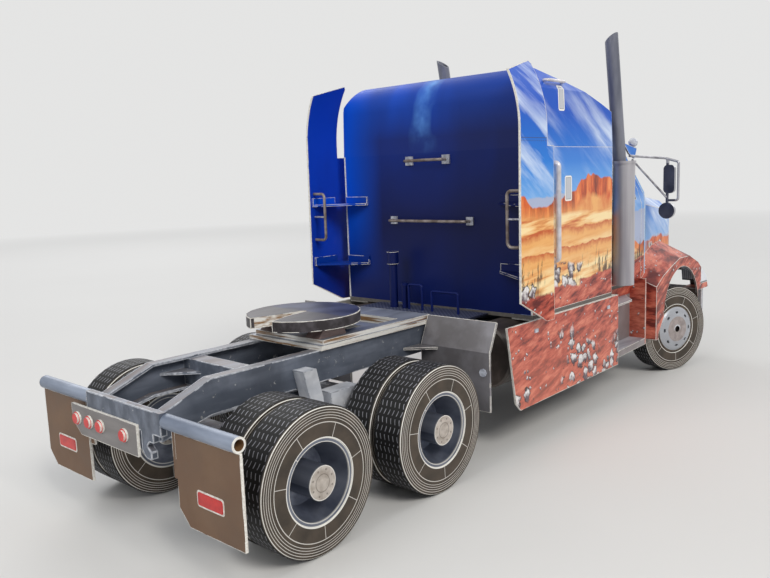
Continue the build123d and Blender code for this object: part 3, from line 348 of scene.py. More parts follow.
def stone_print(s, colour, scale, size, share, tall=1.0):
    """Scattered stones, lit from above, with a dark outline, on a share of the cells."""
    warp = s.noise(1.6 * scale, 2.0)
    twist = s.noise(1.9 * scale, 2.0, vector=s.scaled(s.place, (-1.0, -1.0, -1.0)))
    bent = s.join(s.times(s.less(warp, 0.5), 1.1 / scale), 0.0, s.times(s.less(twist, 0.5), 0.9 / scale))
    distance, chosen, height = s.cells(scale, s.shift(s.scaled(s.place, (1.0, 1.0, 1.0 / tall)), bent))
    speckle = s.times(s.less(s.noise(2.6 * scale, 3.0), 0.5), 2.2 * size / scale)
    lit = s.ramp(s.add(height, speckle), -0.5 * size / scale, 0.35 * size / scale)
    face = s.mix(lit, STONE_SHADE, STONE_LIT)
    face = s.grade(face, STONE_FOOT, distance, size * 0.78, size * 0.94)
    inside = s.ramp(distance, size * 1.06, size * 0.96)
    return s.mix(s.times(s.under(chosen, share), inside), colour, face)


def cliffs(s, depth):
    """Fluted rock above slopes of rubble, by the depth under the rim."""
    flutes = s.noise(1.0, 6.0, stretch=(210.0, 60.0, 34.0), roughness=0.68)
    rock = s.grade(CLIFF_SHADE, CLIFF, flutes, 0.34, 0.50)
    rock = s.grade(rock, CLIFF_LIT, flutes, 0.50, 0.64)
    gully = s.noise(1.0, 4.0, stretch=(120.0, 60.0, 60.0), roughness=0.6)
    rubble = s.grade(CLIFF, SAND, gully, 0.36, 0.60)
    foot = s.line(gully, 7 * MM, 4 * MM)
    return s.grade(rock, rubble, s.less(depth, foot), -1.2 * MM, 1.2 * MM)


def sands(s):
    """Pale flats with warm beds, and low mounds with dark tops."""
    beds = s.noise(1.0, 4.0, vector=s.turned(radians(5)), stretch=(34.0, 20.0, 300.0), roughness=0.55)
    colour = s.grade(SAND_SHADE, SAND, beds, 0.34, 0.46)
    colour = s.grade(colour, SAND_LIT, beds, 0.43, 0.58)
    for base, seed in ((81.0, 0.55), (73.5, 0.21)):
        top = s.less(skyline(s, base, 4.5, 42.0, 4.0, seed), s.z)
        grain = s.times(s.noise(500.0, 3.0), 3.4 * MM)
        mound = s.grade(SAND_SHADE, SAND, s.add(top, grain), 1.4 * MM, 4.6 * MM)
        fade = s.times(s.ramp(top, -0.2 * MM, 0.2 * MM), s.ramp(top, 9 * MM, 3 * MM))
        colour = s.mix(fade, colour, mound)
    return colour


def red_ground(s):
    """Broken red earth with dark creases and small stones."""
    clods = s.noise(1.0, 6.0, vector=s.turned(radians(16)), stretch=(80.0, 80.0, 330.0), roughness=0.68)
    colour = s.grade(GROUND_SHADE, GROUND, clods, 0.38, 0.50)
    colour = s.grade(colour, GROUND_LIT, clods, 0.50, 0.64)
    colour = s.grade(colour, GROUND_LIT, s.z, 46 * MM, 18 * MM, 0.0, 0.35)
    return stone_print(s, colour, 520.0, 0.34, 0.16)


def desert(s, far=89.0, step=4.6, near=86.0, front=60.0, foot=84.0, head=134.0, rise=13.0, fall=0.0):
    """Sky, a canyon's rim, sand and red ground, one above the other. Heights in millimetres.

    The rim is at far, the flats at near and the red ground at front. The sky goes from foot to head.
    """
    slope = s.ramp(s.x, *map(x_at, HILLS_FALL), 0.0, -fall * MM)
    rim = s.add(canyon_rim(s, far, step, 0.31), slope)
    flat = s.add(skyline(s, near, 3.0, 24.0, 4.0, 0.77), slope)
    forward = s.ramp(s.x, *map(x_at, GROUND_RISES), 0.0, rise * MM)
    earth = s.add(skyline(s, front, 4.5, 32.0, 5.0, 0.12), forward)
    rock = s.grade(cliffs(s, s.less(rim, s.z)), SAND, s.less(s.z, flat), 5 * MM, 0.0, 0.0, 0.5)
    far_hills = skyline(s, far + 5.0, 4.0, 60.0, 4.0, 0.93)
    colour = s.mix(below(s, far_hills), sky(s, foot, head), HAZE)
    colour = s.mix(below(s, rim), colour, rock)
    colour = s.mix(below(s, flat, 0.8 * MM), colour, sands(s))
    stand = s.less(s.z, earth)
    twigs = s.noise(1.0, 5.0, vector=s.turned(radians(-8)), stretch=(560.0, 300.0, 110.0), roughness=0.7)
    thicket = s.ramp(s.noise(38.0, 2.0), 0.44, 0.56)
    brush = s.times(s.ramp(s.line(stand, -11.0, twigs), 0.45, 0.52), thicket,
                    s.ramp(stand, 13 * MM, 9 * MM))
    colour = s.mix(s.times(brush, 0.9), colour, BRUSH)
    boulders = stone_print(s, colour, 205.0, 0.54, 0.85, 1.5)
    heap = s.times(s.ramp(stand, 7.0 * MM, 5.5 * MM), s.ramp(s.noise(27.0, 1.0), 0.45, 0.49))
    colour = s.mix(below(s, earth), s.mix(heap, colour, boulders), red_ground(s))
    return s.mix(s.times(heap, s.ramp(stand, -3.0 * MM, -2.0 * MM)), colour, boulders)


def tablet(s, colour, low, high):
    """A printed upright grip, pale in a white line. Its corners are a station and a height each."""
    corner = 1.0 * MM
    centre = ((low[0] + high[0]) / 2, (low[1] + high[1]) / 2)
    half = ((high[0] - low[0]) / 2 * MM - corner, (high[1] - low[1]) / 2 * MM - corner)
    beside = s.math("MAXIMUM", s.less(s.size(s.less(s.x, x_at(centre[0]))), half[0]), 0.0)
    beyond = s.math("MAXIMUM", s.less(s.size(s.less(s.z, centre[1] * MM)), half[1]), 0.0)
    away = s.less(s.length(beside, beyond), corner)
    face = s.grade(TABLET, DOT, away, -0.85 * MM, -0.75 * MM)
    face = s.grade(face, PAPER_WHITE, away, -0.70 * MM, -0.60 * MM)
    return s.grade(colour, face, away, 0.06 * MM, -0.06 * MM)


def dotted(s, colour, across, along, low, high):
    """A row of printed dots: how far across its line the place is, and how far along it."""
    pitch = 1.3 * MM
    step = s.times(s.less(s.math("FRACT", s.math("DIVIDE", along, pitch)), 0.5), pitch)
    away = s.length(step, across)
    dots = s.times(s.ramp(away, 0.26 * MM, 0.18 * MM), s.band(along, low, high, 0.1 * MM))
    return s.mix(s.times(dots, 0.85), colour, DOT)


def sleeper_trim(s, colour):
    """Two printed grips and a row of dots."""
    colour = tablet(s, tablet(s, colour, *HIGH_GRIP), *LOW_GRIP)
    return dotted(s, colour, s.less(s.x, x_at(127.3)), s.z, 69 * MM, 111 * MM)


def printed(name, names, middle, along=None, trim=None, **heights):
    """The desert outside and plain card inside, for a shell about its middle."""
    s = Shade(name, 0.50, coat=0.12)
    colour = desert(s, **heights)
    if trim is not None:
        colour = trim(s, colour)
    colour = s.inner_side(colour, INTERIOR, middle)
    if along is not None:
        colour = s.raw_edges(colour, getattr(s, along))
    s.fibre()
    s.dress(colour, *names)


def hood_trim(s, colour):
    """Open sky and soft stripes where the hood meets the cab, and a pale line along the top."""
    stripes = s.noise(1.0, 3.0, stretch=(260.0, 260.0, 9.0), roughness=0.6)
    above_fender = s.ramp(s.z, 56 * MM, 64 * MM)
    height = s.times(above_fender, s.ramp(s.z, 87 * MM, 80 * MM))
    open_sky = s.times(s.band(s.x, x_at(232), x_at(240), 5 * MM), above_fender)
    colour = s.mix(open_sky, colour, s.grade(SKY_PALE, SKY, s.z, 62 * MM, 86 * MM))
    rear = s.times(s.band(s.x, x_at(225), x_at(242), 3 * MM), height)
    dark = s.times(rear, s.ramp(stripes, 0.48, 0.42), 0.8)
    white = s.times(rear, s.ramp(stripes, 0.56, 0.62), 0.8)
    colour = s.mix(white, s.mix(dark, colour, STRIPE), WISP)
    top = s.times(s.ramp(s.z, 83.5 * MM, 86.5 * MM), s.ramp(s.normal_z, 0.9, 0.6), 0.55)
    return s.mix(top, colour, WISP)


BODY_MIDDLE = Vector((0.0, 0.0, 80 * MM))
printed("print_sleeper_sides", ["sleeper_sides"], BODY_MIDDLE, "normal_y", sleeper_trim)
printed("print_doors", ["cab_doors", "cab_sides"], BODY_MIDDLE, far=78.0, step=3.2, near=75.0, front=57.0,
        foot=72.0, head=116.0, rise=6.0, fall=15.0)
printed("print_hood", ["hood"], at(243, 0, 55), trim=hood_trim, far=62.0, step=2.4, near=60.0, front=45.0,
        foot=56.0, head=108.0)


def skirt_print():
    """Red earth with loose heaps of pale stones."""
    s = Shade("print_skirts", 0.50, coat=0.12)
    earth = red_ground(s)
    patches = s.ramp(s.noise(26.0, 1.0, stretch=(1.0, 1.0, 1.5)), 0.54, 0.57)
    heap = s.times(patches, s.ramp(s.z, 43 * MM, 38 * MM))
    colour = s.mix(heap, earth, stone_print(s, earth, 230.0, 0.52, 0.75, 1.25))
    colour = s.inner_side(colour, SKIRT_INSIDE, (0.0, 0.0, 30 * MM))
    s.fibre()
    s.dress(s.raw_edges(colour, s.normal_y), "side_skirts")


def fender_print():
    """Red earth that breaks in long ledges down the fender."""
    s = Shade("print_fenders", 0.50, coat=0.12)
    ledge = s.noise(1.0, 4.0, vector=s.turned(radians(34)), stretch=(36.0, 60.0, 300.0), roughness=0.6)
    colour = s.grade(red_ground(s), GROUND_SHADE, ledge, 0.50, 0.40, 0.0, 0.85)
    colour = s.grade(colour, LEDGE_LIT, ledge, 0.56, 0.66, 0.0, 0.6)
    colour = s.inner_side(colour, FENDER_INSIDE, at(254, 0, 30))
    s.fibre()
    s.dress(colour, "fenders")


skirt_print()
fender_print()

# Deep blue card, bright at the top

BLUE_TOP = linear(0, 84, 214)
BLUE = linear(2, 34, 112)
BLUE_LOW = linear(4, 16, 72)
BLUE_NIGHT = linear(6, 14, 56)
# Painted highlight on the deep blue card
PAINTED_HIGHLIGHT = linear(104, 166, 236)
FIN_BLUE = linear(4, 56, 176)
FIN_FOOT = linear(4, 40, 140)


def blue_print(s, lift=0.0):
    """Blue that darkens downwards, with soft upright streaks, painted light along the left edge and one
    painted highlight near the top.
    """
    level = s.add(s.z, lift * MM)
    colour = s.grade(BLUE, BLUE_TOP, level, 118 * MM, 140 * MM)
    colour = s.grade(colour, BLUE_LOW, level, 112 * MM, 84 * MM)
    colour = s.grade(colour, BLUE, level, 82 * MM, 60 * MM, 0.0, 0.45)
    streak = s.noise(1.0, 3.0, stretch=(14.0, 22.0, 9.0))
    colour = s.grade(colour, BLUE_NIGHT, streak, 0.56, 0.38, 0.0, 0.55)
    # Painted light: the blue is lighter towards the left edge, on the left side only, fading out towards the
    # foot
    edge = s.times(s.ramp(s.y, 26 * MM, 46 * MM), s.ramp(s.z, 56 * MM, 84 * MM), 0.8)
    colour = s.mix(edge, colour, BLUE_TOP)
    # Painted highlight: a patchy pale smear near the middle, from the top of the rear wall onto the back of
    # the roof
    wander = s.line(s.noise(60.0, 2.0), 14 * MM, -5 * MM)
    across = s.ramp(s.size(s.less(s.y, wander)), 7 * MM, 0.0)
    height = s.times(s.ramp(s.z, 111 * MM, 127 * MM), s.ramp(s.x, x_at(150), x_at(118)))
    highlight_patches = s.ramp(s.noise(95.0, 3.0), 0.36, 0.66, 0.15, 1.0)
    return s.mix(s.times(across, height, highlight_patches, 0.9), colour, PAINTED_HIGHLIGHT)


def roof_card(name, names, middle, lift=0.0):
    """Sky on the flanks and deep blue on the top and back."""
    s = Shade(name, 0.46)
    s.specular(0.25)
    flank = s.ramp(s.size(s.normal_y), 0.45, 0.6)
    colour = s.mix(flank, blue_print(s, lift), tablet(s, sky(s), *HIGH_GRIP))
    s.fibre()
    s.dress(s.inner_side(colour, INTERIOR, middle), *names)


def blue_card(name, names):
    s = Shade(name, 0.44)
    s.specular(0.2)
    colour = blue_print(s)
    s.fibre()
    s.dress(colour, *names)


roof_card("print_sleeper_roof", ["sleeper_roof"], at(140, 0, 112))
roof_card("print_cab_roof", ["cab_roof", "sun_visor", "windscreen_frame"], at(192, 0, 80), 26.0)
blue_card("blue_wall", ["sleeper_rear_wall", "sleeper_front_wall", "air_line_posts"])
blue_card("blue_brackets", ["extender_brackets"])


def fin_card():
    """The fins: the desert print outside, and an even blue inside with soft darker patches."""
    s = Shade("print_fins", 0.50)
    s.specular(0.2)
    dots_z = 113.7 * MM
    line_z = 114.7 * MM
    outside = s.over(s.times(s.y, s.normal_y), 0.0)
    inside = s.grade(FIN_BLUE, FIN_FOOT, s.z, 70 * MM, 58 * MM)
    patches = s.noise(40.0, 3.0, stretch=(1.0, 1.0, 0.4))
    inside = s.grade(inside, BLUE_LOW, patches, 0.5, 0.3, 0.0, 0.25)
    print_side = dotted(s, desert(s), s.less(s.z, dots_z), s.x, x_at(95.6), x_at(116.6))
    line = s.ramp(s.size(s.less(s.z, line_z)), 0.14 * MM, 0.08 * MM, 0.0, 0.8)
    print_side = s.mix(line, print_side, DOT)
    colour = s.raw_edges(s.mix(outside, inside, print_side), s.normal_y, 0.25)
    s.fibre()
    s.dress(colour, "side_extenders")


fin_card()

# Painted and plain card


def brushed(name, names, base, light, dark, metallic=0.1, roughness=0.45, grain=(40.0, 500.0, 300.0),
            along=None, wear=0.0, top=None):
    """Card painted by hand: streaks, lighter worn spots and darker stains, and another tone on top."""
    s = Shade(name, roughness, metallic)
    base, light, dark = (linear(*colour) for colour in (base, light, dark))
    stain = s.noise(55.0, 4.0, roughness=0.6)
    if top is not None:
        base = s.grade(base, linear(*top), s.normal_z, 0.6, 0.8)
    colour = s.tones(base, light, 1.0, 4.0, 0.40, 0.75, grain)
    colour = s.grade(colour, dark, stain, 0.54, 0.36, 0.0, 0.6)
    if wear:
        scuff = s.noise(330.0, 5.0, roughness=0.7)
        colour = s.grade(colour, PAPER_WHITE, scuff, 0.64, 0.72, 0.0, wear)
    if along is not None:
        colour = s.raw_edges(colour, getattr(s, along))
    s.put(s.surface.inputs["Roughness"], s.ramp(stain, 0.3, 0.7, roughness - 0.08, roughness + 0.15))
    s.bump(s.noise(900.0, 4.0), 0.3, 0.1 * MM)
    s.dress(colour, *names)


FRAME_NODES = ["frame_rails", "frame_crossmembers", "rear_crossbeam", "drive_axles", "front_axle",
               "front_springs", "tank_brackets", "knuckle_left", "knuckle_right", "tie_rod"]
brushed("frame_paint", FRAME_NODES, (84, 91, 104), (128, 135, 149), (58, 64, 76),
        metallic=0.25, roughness=0.42, grain=(30.0, 260.0, 170.0), wear=0.6, top=(112, 105, 106))
brushed("bracket_paint", ["bogie_beams"], (204, 208, 216), (232, 233, 236), (140, 144, 154),
        metallic=0.15, wear=0.6)
brushed("flap_card", ["mudflaps"], (106, 80, 60), (118, 92, 70), (94, 71, 52),
        metallic=0.0, roughness=0.55, grain=(300.0, 60.0, 60.0), along="normal_x")
brushed("panel_card", ["lamp_panel"], (122, 118, 117), (142, 138, 137), (98, 94, 93),
        grain=(60.0, 40.0, 300.0), along="normal_x")
brushed("quarter_card", ["quarter_fenders"], (112, 110, 114), (140, 138, 143), (80, 76, 75),
        metallic=0.2, roughness=0.40, grain=(30.0, 30.0, 30.0))
brushed("pedestal_card", ["fifth_wheel_pedestal"], (128, 108, 104), (156, 134, 128), (88, 74, 72))
brushed("tank_card", ["fuel_tanks"], (78, 70, 66), (98, 88, 82), (52, 46, 44))
brushed("silver_card", ["bumper", "grille"], (150, 150, 160), (190, 190, 198), (108, 108, 118),
        metallic=0.4, roughness=0.36)
brushed("cabin_card", ["cab_floor", "seats", "dashboard"], (96, 92, 88), (112, 106, 100), (70, 66, 64),
        metallic=0.0, roughness=0.7)


def stack_card():
    """Pale mufflers below, darker pipes above, shaded in soft upright streaks."""
    s = Shade("stack_card", 0.40, 0.25)
    muffler_top = 106.0 * MM
    streak = s.ramp(s.noise(1.0, 4.0, stretch=(190.0, 190.0, 10.0)), 0.36, 0.68)
    muffler = s.mix(streak, linear(146, 143, 150), linear(186, 184, 188))
    pipe = s.mix(streak, linear(94, 97, 110), linear(134, 136, 147))
    s.bump(s.noise(700.0, 3.0), 0.2, 0.08 * MM)
    s.dress(s.mix(s.over(s.z, muffler_top), muffler, pipe), "exhaust_stacks")


def mirror_card():
    """Silver wires and shells, and dark glass that faces back."""
    s = Shade("mirror_card", 0.30, 0.4)
    shell_x = x_at(232.5)
    glass_x = x_at(235.9)
    glass_outer = 51.6 * MM
    glass_top = 104.5 * MM
    wire = s.tones(linear(128, 126, 132), linear(188, 188, 194), 300.0, 4.0, 0.36, 0.66)
    shell = s.tones(linear(150, 150, 157), linear(176, 176, 183), 90.0, 2.0, 0.30, 0.70)
    glass = s.tones(linear(54, 56, 70), linear(86, 88, 104), 120.0, 3.0)
    silver = s.mix(s.over(s.x, shell_x), wire, shell)
    inside = s.times(s.over(s.x, glass_x), s.under(s.size(s.y), glass_outer), s.under(s.z, glass_top))
    faces_back = s.under(s.normal_x, -0.5)
    s.dress(s.mix(s.times(inside, faces_back), silver, glass), "mirrors")


def hanger_tube():
    """Rolled tubes, painted outside, brown inside and white where they are cut."""
    s = Shade("hanger_tube", 0.42, 0.25)
    paint = s.tones(linear(100, 110, 128), linear(150, 160, 178), 1.0, 4.0, 0.38, 0.68, (170.0, 30.0, 170.0))
    colour = s.inner_side(paint, BROWN_BOARD, middle_of("mudflap_hangers"))
    s.bump(s.noise(900.0, 4.0), 0.3, 0.1 * MM)
    s.dress(s.mix(s.over(s.size(s.normal_y), 0.8), colour, PAPER_WHITE), "mudflap_hangers")


def base_card():
    """Silver-painted board whose edges show its layers."""
    s = Shade("base_card", 0.40, 0.3)
    paint = s.tones(linear(118, 124, 138), linear(158, 164, 178), 1.0, 4.0, 0.35, 0.7, (60.0, 200.0, 60.0))
    edge = s.tones(BROWN_BOARD, PAPER_WHITE, 1.0, 4.0, 0.42, 0.52, (40.0, 40.0, 900.0))
    s.bump(s.noise(700.0, 4.0), 0.3, 0.12 * MM)
    s.dress(s.mix(s.under(s.size(s.normal_z), 0.5), paint, edge), "fifth_wheel_base")


def plate_card():
    """The coupling plate: glossy grey, half of it bluish, with raw board in the cut throat."""
    s = Shade("plate_card", 0.46, 0.05)
    s.specular(0.22)
    rim_from = 18.6 * MM
    grey = s.tones(linear(44, 42, 47), linear(80, 77, 81), 1.0, 4.0, stretch=(40.0, 120.0, 40.0))
    blue = s.tones(linear(26, 32, 62), linear(56, 62, 92), 90.0, 3.0, 0.40, 0.60)
    top = s.grade(grey, blue, s.x, PLATE.x - 0.5 * MM, PLATE.x + 1.0 * MM)
    rim = s.tones(linear(50, 46, 48), linear(78, 74, 78), 300.0, 4.0, 0.4, 0.65)
    away = s.node("ShaderNodeVectorMath", s.place, tuple(PLATE), operation="DISTANCE").outputs["Value"]
    raw = s.tones(BROWN_BOARD, PAPER_WHITE, 1.0, 4.0, 0.38, 0.55, (200.0, 200.0, 900.0))
    side = s.grade(raw, rim, away, rim_from, rim_from + 0.3 * MM)
    s.bump(s.noise(60.0, 2.0), 0.35, 0.5 * MM)
    s.dress(s.mix(s.under(s.size(s.normal_z), 0.5), top, side), "fifth_wheel_plate")


def diamond_plate():
    """Printed tread plate: short light bars, turned by quarters from cell to cell."""
    s = Shade("tread_plate", 0.42, 0.3)
    pitch = 1.9 * MM
    across = s.math("DIVIDE", s.add(s.x, s.y), pitch)
    along = s.math("DIVIDE", s.less(s.x, s.y), pitch)
    odd = s.math("MODULO", s.size(s.add(s.math("FLOOR", across), s.math("FLOOR", along))), 2.0)
    even = s.less(1.0, odd)
    u = s.size(s.less(s.math("FRACT", across), 0.5))
    v = s.size(s.less(s.math("FRACT", along), 0.5))
    short = s.add(s.times(odd, u), s.times(even, v))
    long = s.add(s.times(odd, v), s.times(even, u))
    bar = s.times(s.ramp(short, 0.16, 0.10), s.ramp(long, 0.40, 0.34))
    worn = s.mix(s.noise(120.0, 3.0), linear(44, 48, 68), linear(72, 78, 104))
    s.dress(s.mix(bar, worn, linear(132, 138, 158)), "catwalk")


def step_card():
    """The step recess: silver treads, grey board between them and red print above and at the end."""
    s = Shade("step_card", 0.42, 0.25)
    end_x = x_at(212.8)
    print_z = 43.6 * MM
    top_z = 44 * MM
    silver = s.tones(linear(150, 150, 160), linear(194, 194, 202), 1.0, 4.0, 0.35, 0.7, (60.0, 300.0, 60.0))
    grey = s.tones(linear(120, 112, 112), linear(148, 140, 142), 60.0, 3.0)
    wall = s.mix(s.math("MAXIMUM", s.over(s.x, end_x), s.over(s.z, print_z)), grey, red_ground(s))
    treads = s.times(s.over(s.size(s.normal_z), 0.5), s.under(s.z, top_z))
    s.fibre()
    s.dress(s.mix(treads, wall, silver), "step_boxes")


def rail_paint():
    """Wires brushed brown and silver, their pads silver, the sleeper's side rails pale grey."""
    s = Shade("rail_paint", 0.38, 0.3)
    pad_x = WALL - 0.85 * MM
    side_x = WALL + 5 * MM
    side_y = 44.0 * MM
    wire = s.tones(linear(98, 84, 76), linear(160, 150, 144), 260.0, 4.0, 0.38, 0.68)
    pad = s.tones(linear(140, 142, 152), linear(190, 192, 200), 500.0, 3.0)
    pale = s.tones(linear(186, 182, 187), linear(216, 213, 218), 300.0, 3.0)
    colour = s.mix(s.over(s.x, pad_x), wire, pad)
    side_rail = s.times(s.over(s.size(s.y), side_y), s.over(s.x, side_x))
    colour = s.mix(side_rail, colour, pale)
    s.bump(s.noise(1200.0, 3.0), 0.3, 0.08 * MM)
    s.dress(colour, "grab_rails")


stack_card()
mirror_card()
hanger_tube()
base_card()
plate_card()
diamond_plate()
step_card()
rail_paint()


def glossy(name, names, base, light, roughness, alpha=1.0):
    s = Shade(name, roughness, coat=0.5)
    s.surface.inputs["Alpha"].default_value = alpha
    s.dress(s.tones(base, light, 500.0, 3.0, 0.4, 0.7), *names)


glossy("glazing_film", ["glazing"], linear(120, 140, 156), linear(166, 182, 194), 0.08, 0.38)
glossy("lamp_silver", ["marker_lamps"], linear(160, 164, 176), linear(214, 218, 228), 0.18)


def headlamp_card():
    """Ribbed lamp glass with a thin dark frame line."""
    s = Shade("headlamp_card", 0.16, 0.2, 0.6)
    low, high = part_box("headlamps")
    rib_pitch = 1.1 * MM
    frame_line = 0.8 * MM
    rib = s.math("SINE", s.times(s.y, 2 * pi / rib_pitch))
    glass = s.grade(linear(150, 158, 172), linear(222, 226, 234), rib, -0.6, 0.8)
    inside = s.band(s.z, low.z + frame_line, high.z - frame_line, 0.1 * MM)
    s.bump(rib, 0.5, 0.2 * MM)
    s.dress(s.mix(inside, linear(70, 72, 82), glass), "headlamps")


def lamp_red():
    s = Shade("lamp_red", 0.34, coat=0.15)
    red = s.tones(linear(196, 22, 24), linear(222, 52, 46), 700.0, 3.0, 0.4, 0.7)
    s.dress(s.raw_edges(red, s.normal_x), "tail_lamps")


headlamp_card()
lamp_red()

# Wheels

TREAD = linear(8, 8, 9)
TREAD_MARK = linear(150, 150, 158)
SIDEWALL = linear(58, 51, 44)
SIDEWALL_WORN = linear(80, 70, 60)
RING_WHITE = linear(206, 202, 196)

# Whole sectors, added so that the count of them never falls under zero
SECTORS_AHEAD = 8.0


class WheelShade(Shade):
    """A shade with the place in the wheel's own axes: across, radius and turn."""

    def __init__(self, name, node, yaw, roughness, metallic=0.0):
        super().__init__(name, roughness, metallic)
        from_middle = self.shift(self.place, tuple(-middle_of(node)))
        x, self.across, z = self.split(self.turned(-yaw, from_middle, "Z_AXIS"))
        self.radius = self.length(x, z)
        self.turn = self.math("ARCTAN2", z, x)

    def ring(self, radius, half):
        return self.ramp(self.size(self.less(self.radius, radius)), half * 1.3, half * 0.7)

    def sector(self, count, phase):
        """The share of the way through one of so many equal sectors, from -0.5 to 0.5."""
        through = self.line(self.turn, count / (2 * pi), phase + SECTORS_AHEAD)
        return self.less(self.math("FRACT", through), 0.5)

    def spokes(self, count, half, phase):
        """Thin radial lines of an even width."""
        width = self.times(self.size(self.sector(count, phase)), 2 * pi / count, self.radius)
        return self.ramp(width, half * 1.3, half * 0.7)

    def dots(self, count, radius, size):
        sideways = self.times(self.sector(count, 0.0), 2 * pi / count * radius)
        away = self.length(sideways, self.less(self.radius, radius))
        return self.ramp(away, size * 1.2, size * 0.8)

    def either(self, first, *others):
        for other in others:
            first = self.math("MAXIMUM", first, other)
        return first


RIM_R = 12.35 * MM
STEER_REST = radians(-20)
TREAD_PITCH = 1.7 * MM
WAVE_LENGTH = 5.2 * MM

# Radii of the rings on a tyre's wall, as shares of the tyre's own
BEAD = 0.782
WALL_RINGS = (0.835, 0.87, 0.905, 0.94)


def tyre_card(node, yaw):
    s = WheelShade(f"card_{node}", node, yaw, 0.62)
    s.specular(0.35)
    column = s.less(s.math("FRACT", s.math("DIVIDE", s.across, TREAD_PITCH)), 0.5)
    wave = s.times(s.turn, TYRE_R / WAVE_LENGTH)
    middle = s.times(s.math("SINE", s.times(wave, 2 * pi)), 0.15)
    mark = s.ramp(s.size(s.less(column, middle)), 0.10, 0.05)
    mark = s.times(mark, s.ramp(s.math("FRACT", s.line(wave, 2.0, 0.5)), 0.70, 0.60))
    mark = s.times(mark, s.ramp(s.noise(300.0, 2.0), 0.2, 0.6, 0.5, 1.0))
    tread = s.mix(mark, TREAD, TREAD_MARK)
    side = s.tones(SIDEWALL, SIDEWALL_WORN, 160.0, 4.0, 0.35, 0.7)
    rings = [s.ring(TYRE_R * share, 0.08 * MM) for share in WALL_RINGS]
    inside = s.ramp(s.radius, TYRE_R * 0.785, TYRE_R * 0.78)
    ticks = s.times(s.spokes(7, 0.09 * MM, 0.2), inside)
    lines = s.either(s.ring(TYRE_R * BEAD, 0.12 * MM), *rings, ticks)
    side = s.mix(lines, side, RING_WHITE)
    colour = s.grade(side, tread, s.radius, TYRE_R - 0.25 * MM, TYRE_R - 0.2 * MM)
    inner_edge = s.ramp(s.radius, RIM_R + 0.25 * MM, RIM_R + 0.2 * MM)
    edges = s.either(s.ring(TYRE_R - 0.5 * MM, 0.09 * MM), inner_edge)
    colour = s.mix(edges, colour, PAPER_WHITE)
    s.bump(s.noise(1500.0, 3.0), 0.25, 0.08 * MM)
    s.dress(colour, node)


HUB_LIT = linear(206, 208, 212)
HUB = linear(130, 135, 148)
HUB_SHADE = linear(86, 92, 108)
CAP_LIT = linear(206, 198, 190)
CAP = linear(170, 160, 150)
CAP_MARK = linear(112, 104, 98)
# Painted shade for the centre hole of the front hubs
PAINTED_HOLE_SHADE = linear(40, 34, 32)


def hub_silver(s):
    brushing = s.noise(1.0, 4.0, vector=s.join(s.times(s.radius, 300.0), s.times(s.turn, 1.2), 0.0))
    return s.grade(HUB_SHADE, HUB, brushing, 0.35, 0.7)


def rear_hub_card(node):
    """A deep silver dish with a white lip, a seam and a printed cap on its boss."""
    s = WheelShade(f"card_{node}", node, 0.0, 0.30, 0.55)
    cap_r = 4.9 * MM
    cap_across = 12.0 * MM
    seam = s.times(s.spokes(1, 0.09 * MM, 0.13), s.over(s.radius, 5.1 * MM))
    silver = s.mix(seam, hub_silver(s), PAPER_WHITE)
    cap = s.tones(CAP, CAP_LIT, 400.0, 4.0)
    marks = s.either(s.ring(2.5 * MM, 0.13 * MM), s.dots(8, 3.8 * MM, 0.33 * MM))
    cap = s.mix(s.times(marks, 0.7), cap, CAP_MARK)
    cap = s.mix(s.ring(cap_r - 0.1 * MM, 0.16 * MM), cap, PAPER_WHITE)
    within = s.ramp(s.radius, cap_r + 0.03 * MM, cap_r - 0.03 * MM)
    colour = s.mix(s.times(within, s.over(s.size(s.across), cap_across)), silver, cap)
    lips = s.either(s.ring(RIM_R - 0.12 * MM, 0.16 * MM), s.ring(RIM_R - 1.15 * MM, 0.14 * MM))
    s.bump(s.noise(110.0, 2.0), 0.12, 0.3 * MM)
    s.dress(s.mix(lips, colour, PAPER_WHITE), node)


def front_hub_card(node):
    """A bright dome with a flat printed disc and a dark centre, in a dark band. The dark centre is painted
    shade in a hole, and the ring round it carries a painted highlight on its upper half.
    """
    s = WheelShade(f"card_{node}", node, STEER_REST, 0.26, 0.6)
    silver = s.mix(0.6, hub_silver(s), HUB_LIT)
    disc = s.tones(linear(150, 140, 138), linear(176, 166, 164), 400.0, 4.0)
    colour = s.grade(silver, disc, s.radius, 6.45 * MM, 6.35 * MM)
    # Painted highlight: the ring round the centre is lighter on its upper half only
    ring = s.times(s.ring(1.9 * MM, 0.35 * MM), s.ramp(s.z, TYRE_R - 1.0 * MM, TYRE_R + 1.0 * MM))
    colour = s.mix(ring, colour, HUB_LIT)
    # Painted shade: a dark disc at the centre stands for the shade inside the hole
    colour = s.grade(colour, PAINTED_HOLE_SHADE, s.radius, 1.55 * MM, 1.5 * MM)
    band = s.tones(linear(74, 64, 54), linear(98, 86, 74), 200.0, 3.0)
    colour = s.grade(colour, band, s.radius, 11.0 * MM, 11.2 * MM)
    s.bump(s.noise(110.0, 2.0), 0.12, 0.3 * MM)
    s.dress(colour, node)


for side in ("left", "right"):
    for place in ("rear", "middle"):
        tyre_card(f"tyres_{place}_{side}", 0.0)
        rear_hub_card(f"hub_{place}_{side}")
    tyre_card(f"tyre_front_{side}", STEER_REST)
    front_hub_card(f"hub_front_{side}")

# White cut and folded edges

EDGE_WIDTH = 0.16 * MM
EDGE_STEP = 1.5 * MM
EDGE_LIFT = 0.02 * MM
EDGE_SHORTEST = 0.3 * MM
EDGE_NARROWEST = 0.4
FOLD_ANGLE = radians(35)
SAME_PLACE = 0.002 * MM
JOINT_CLEAR = 1.0 * MM
ROUGH_SCALES = (420.0, 90.0)


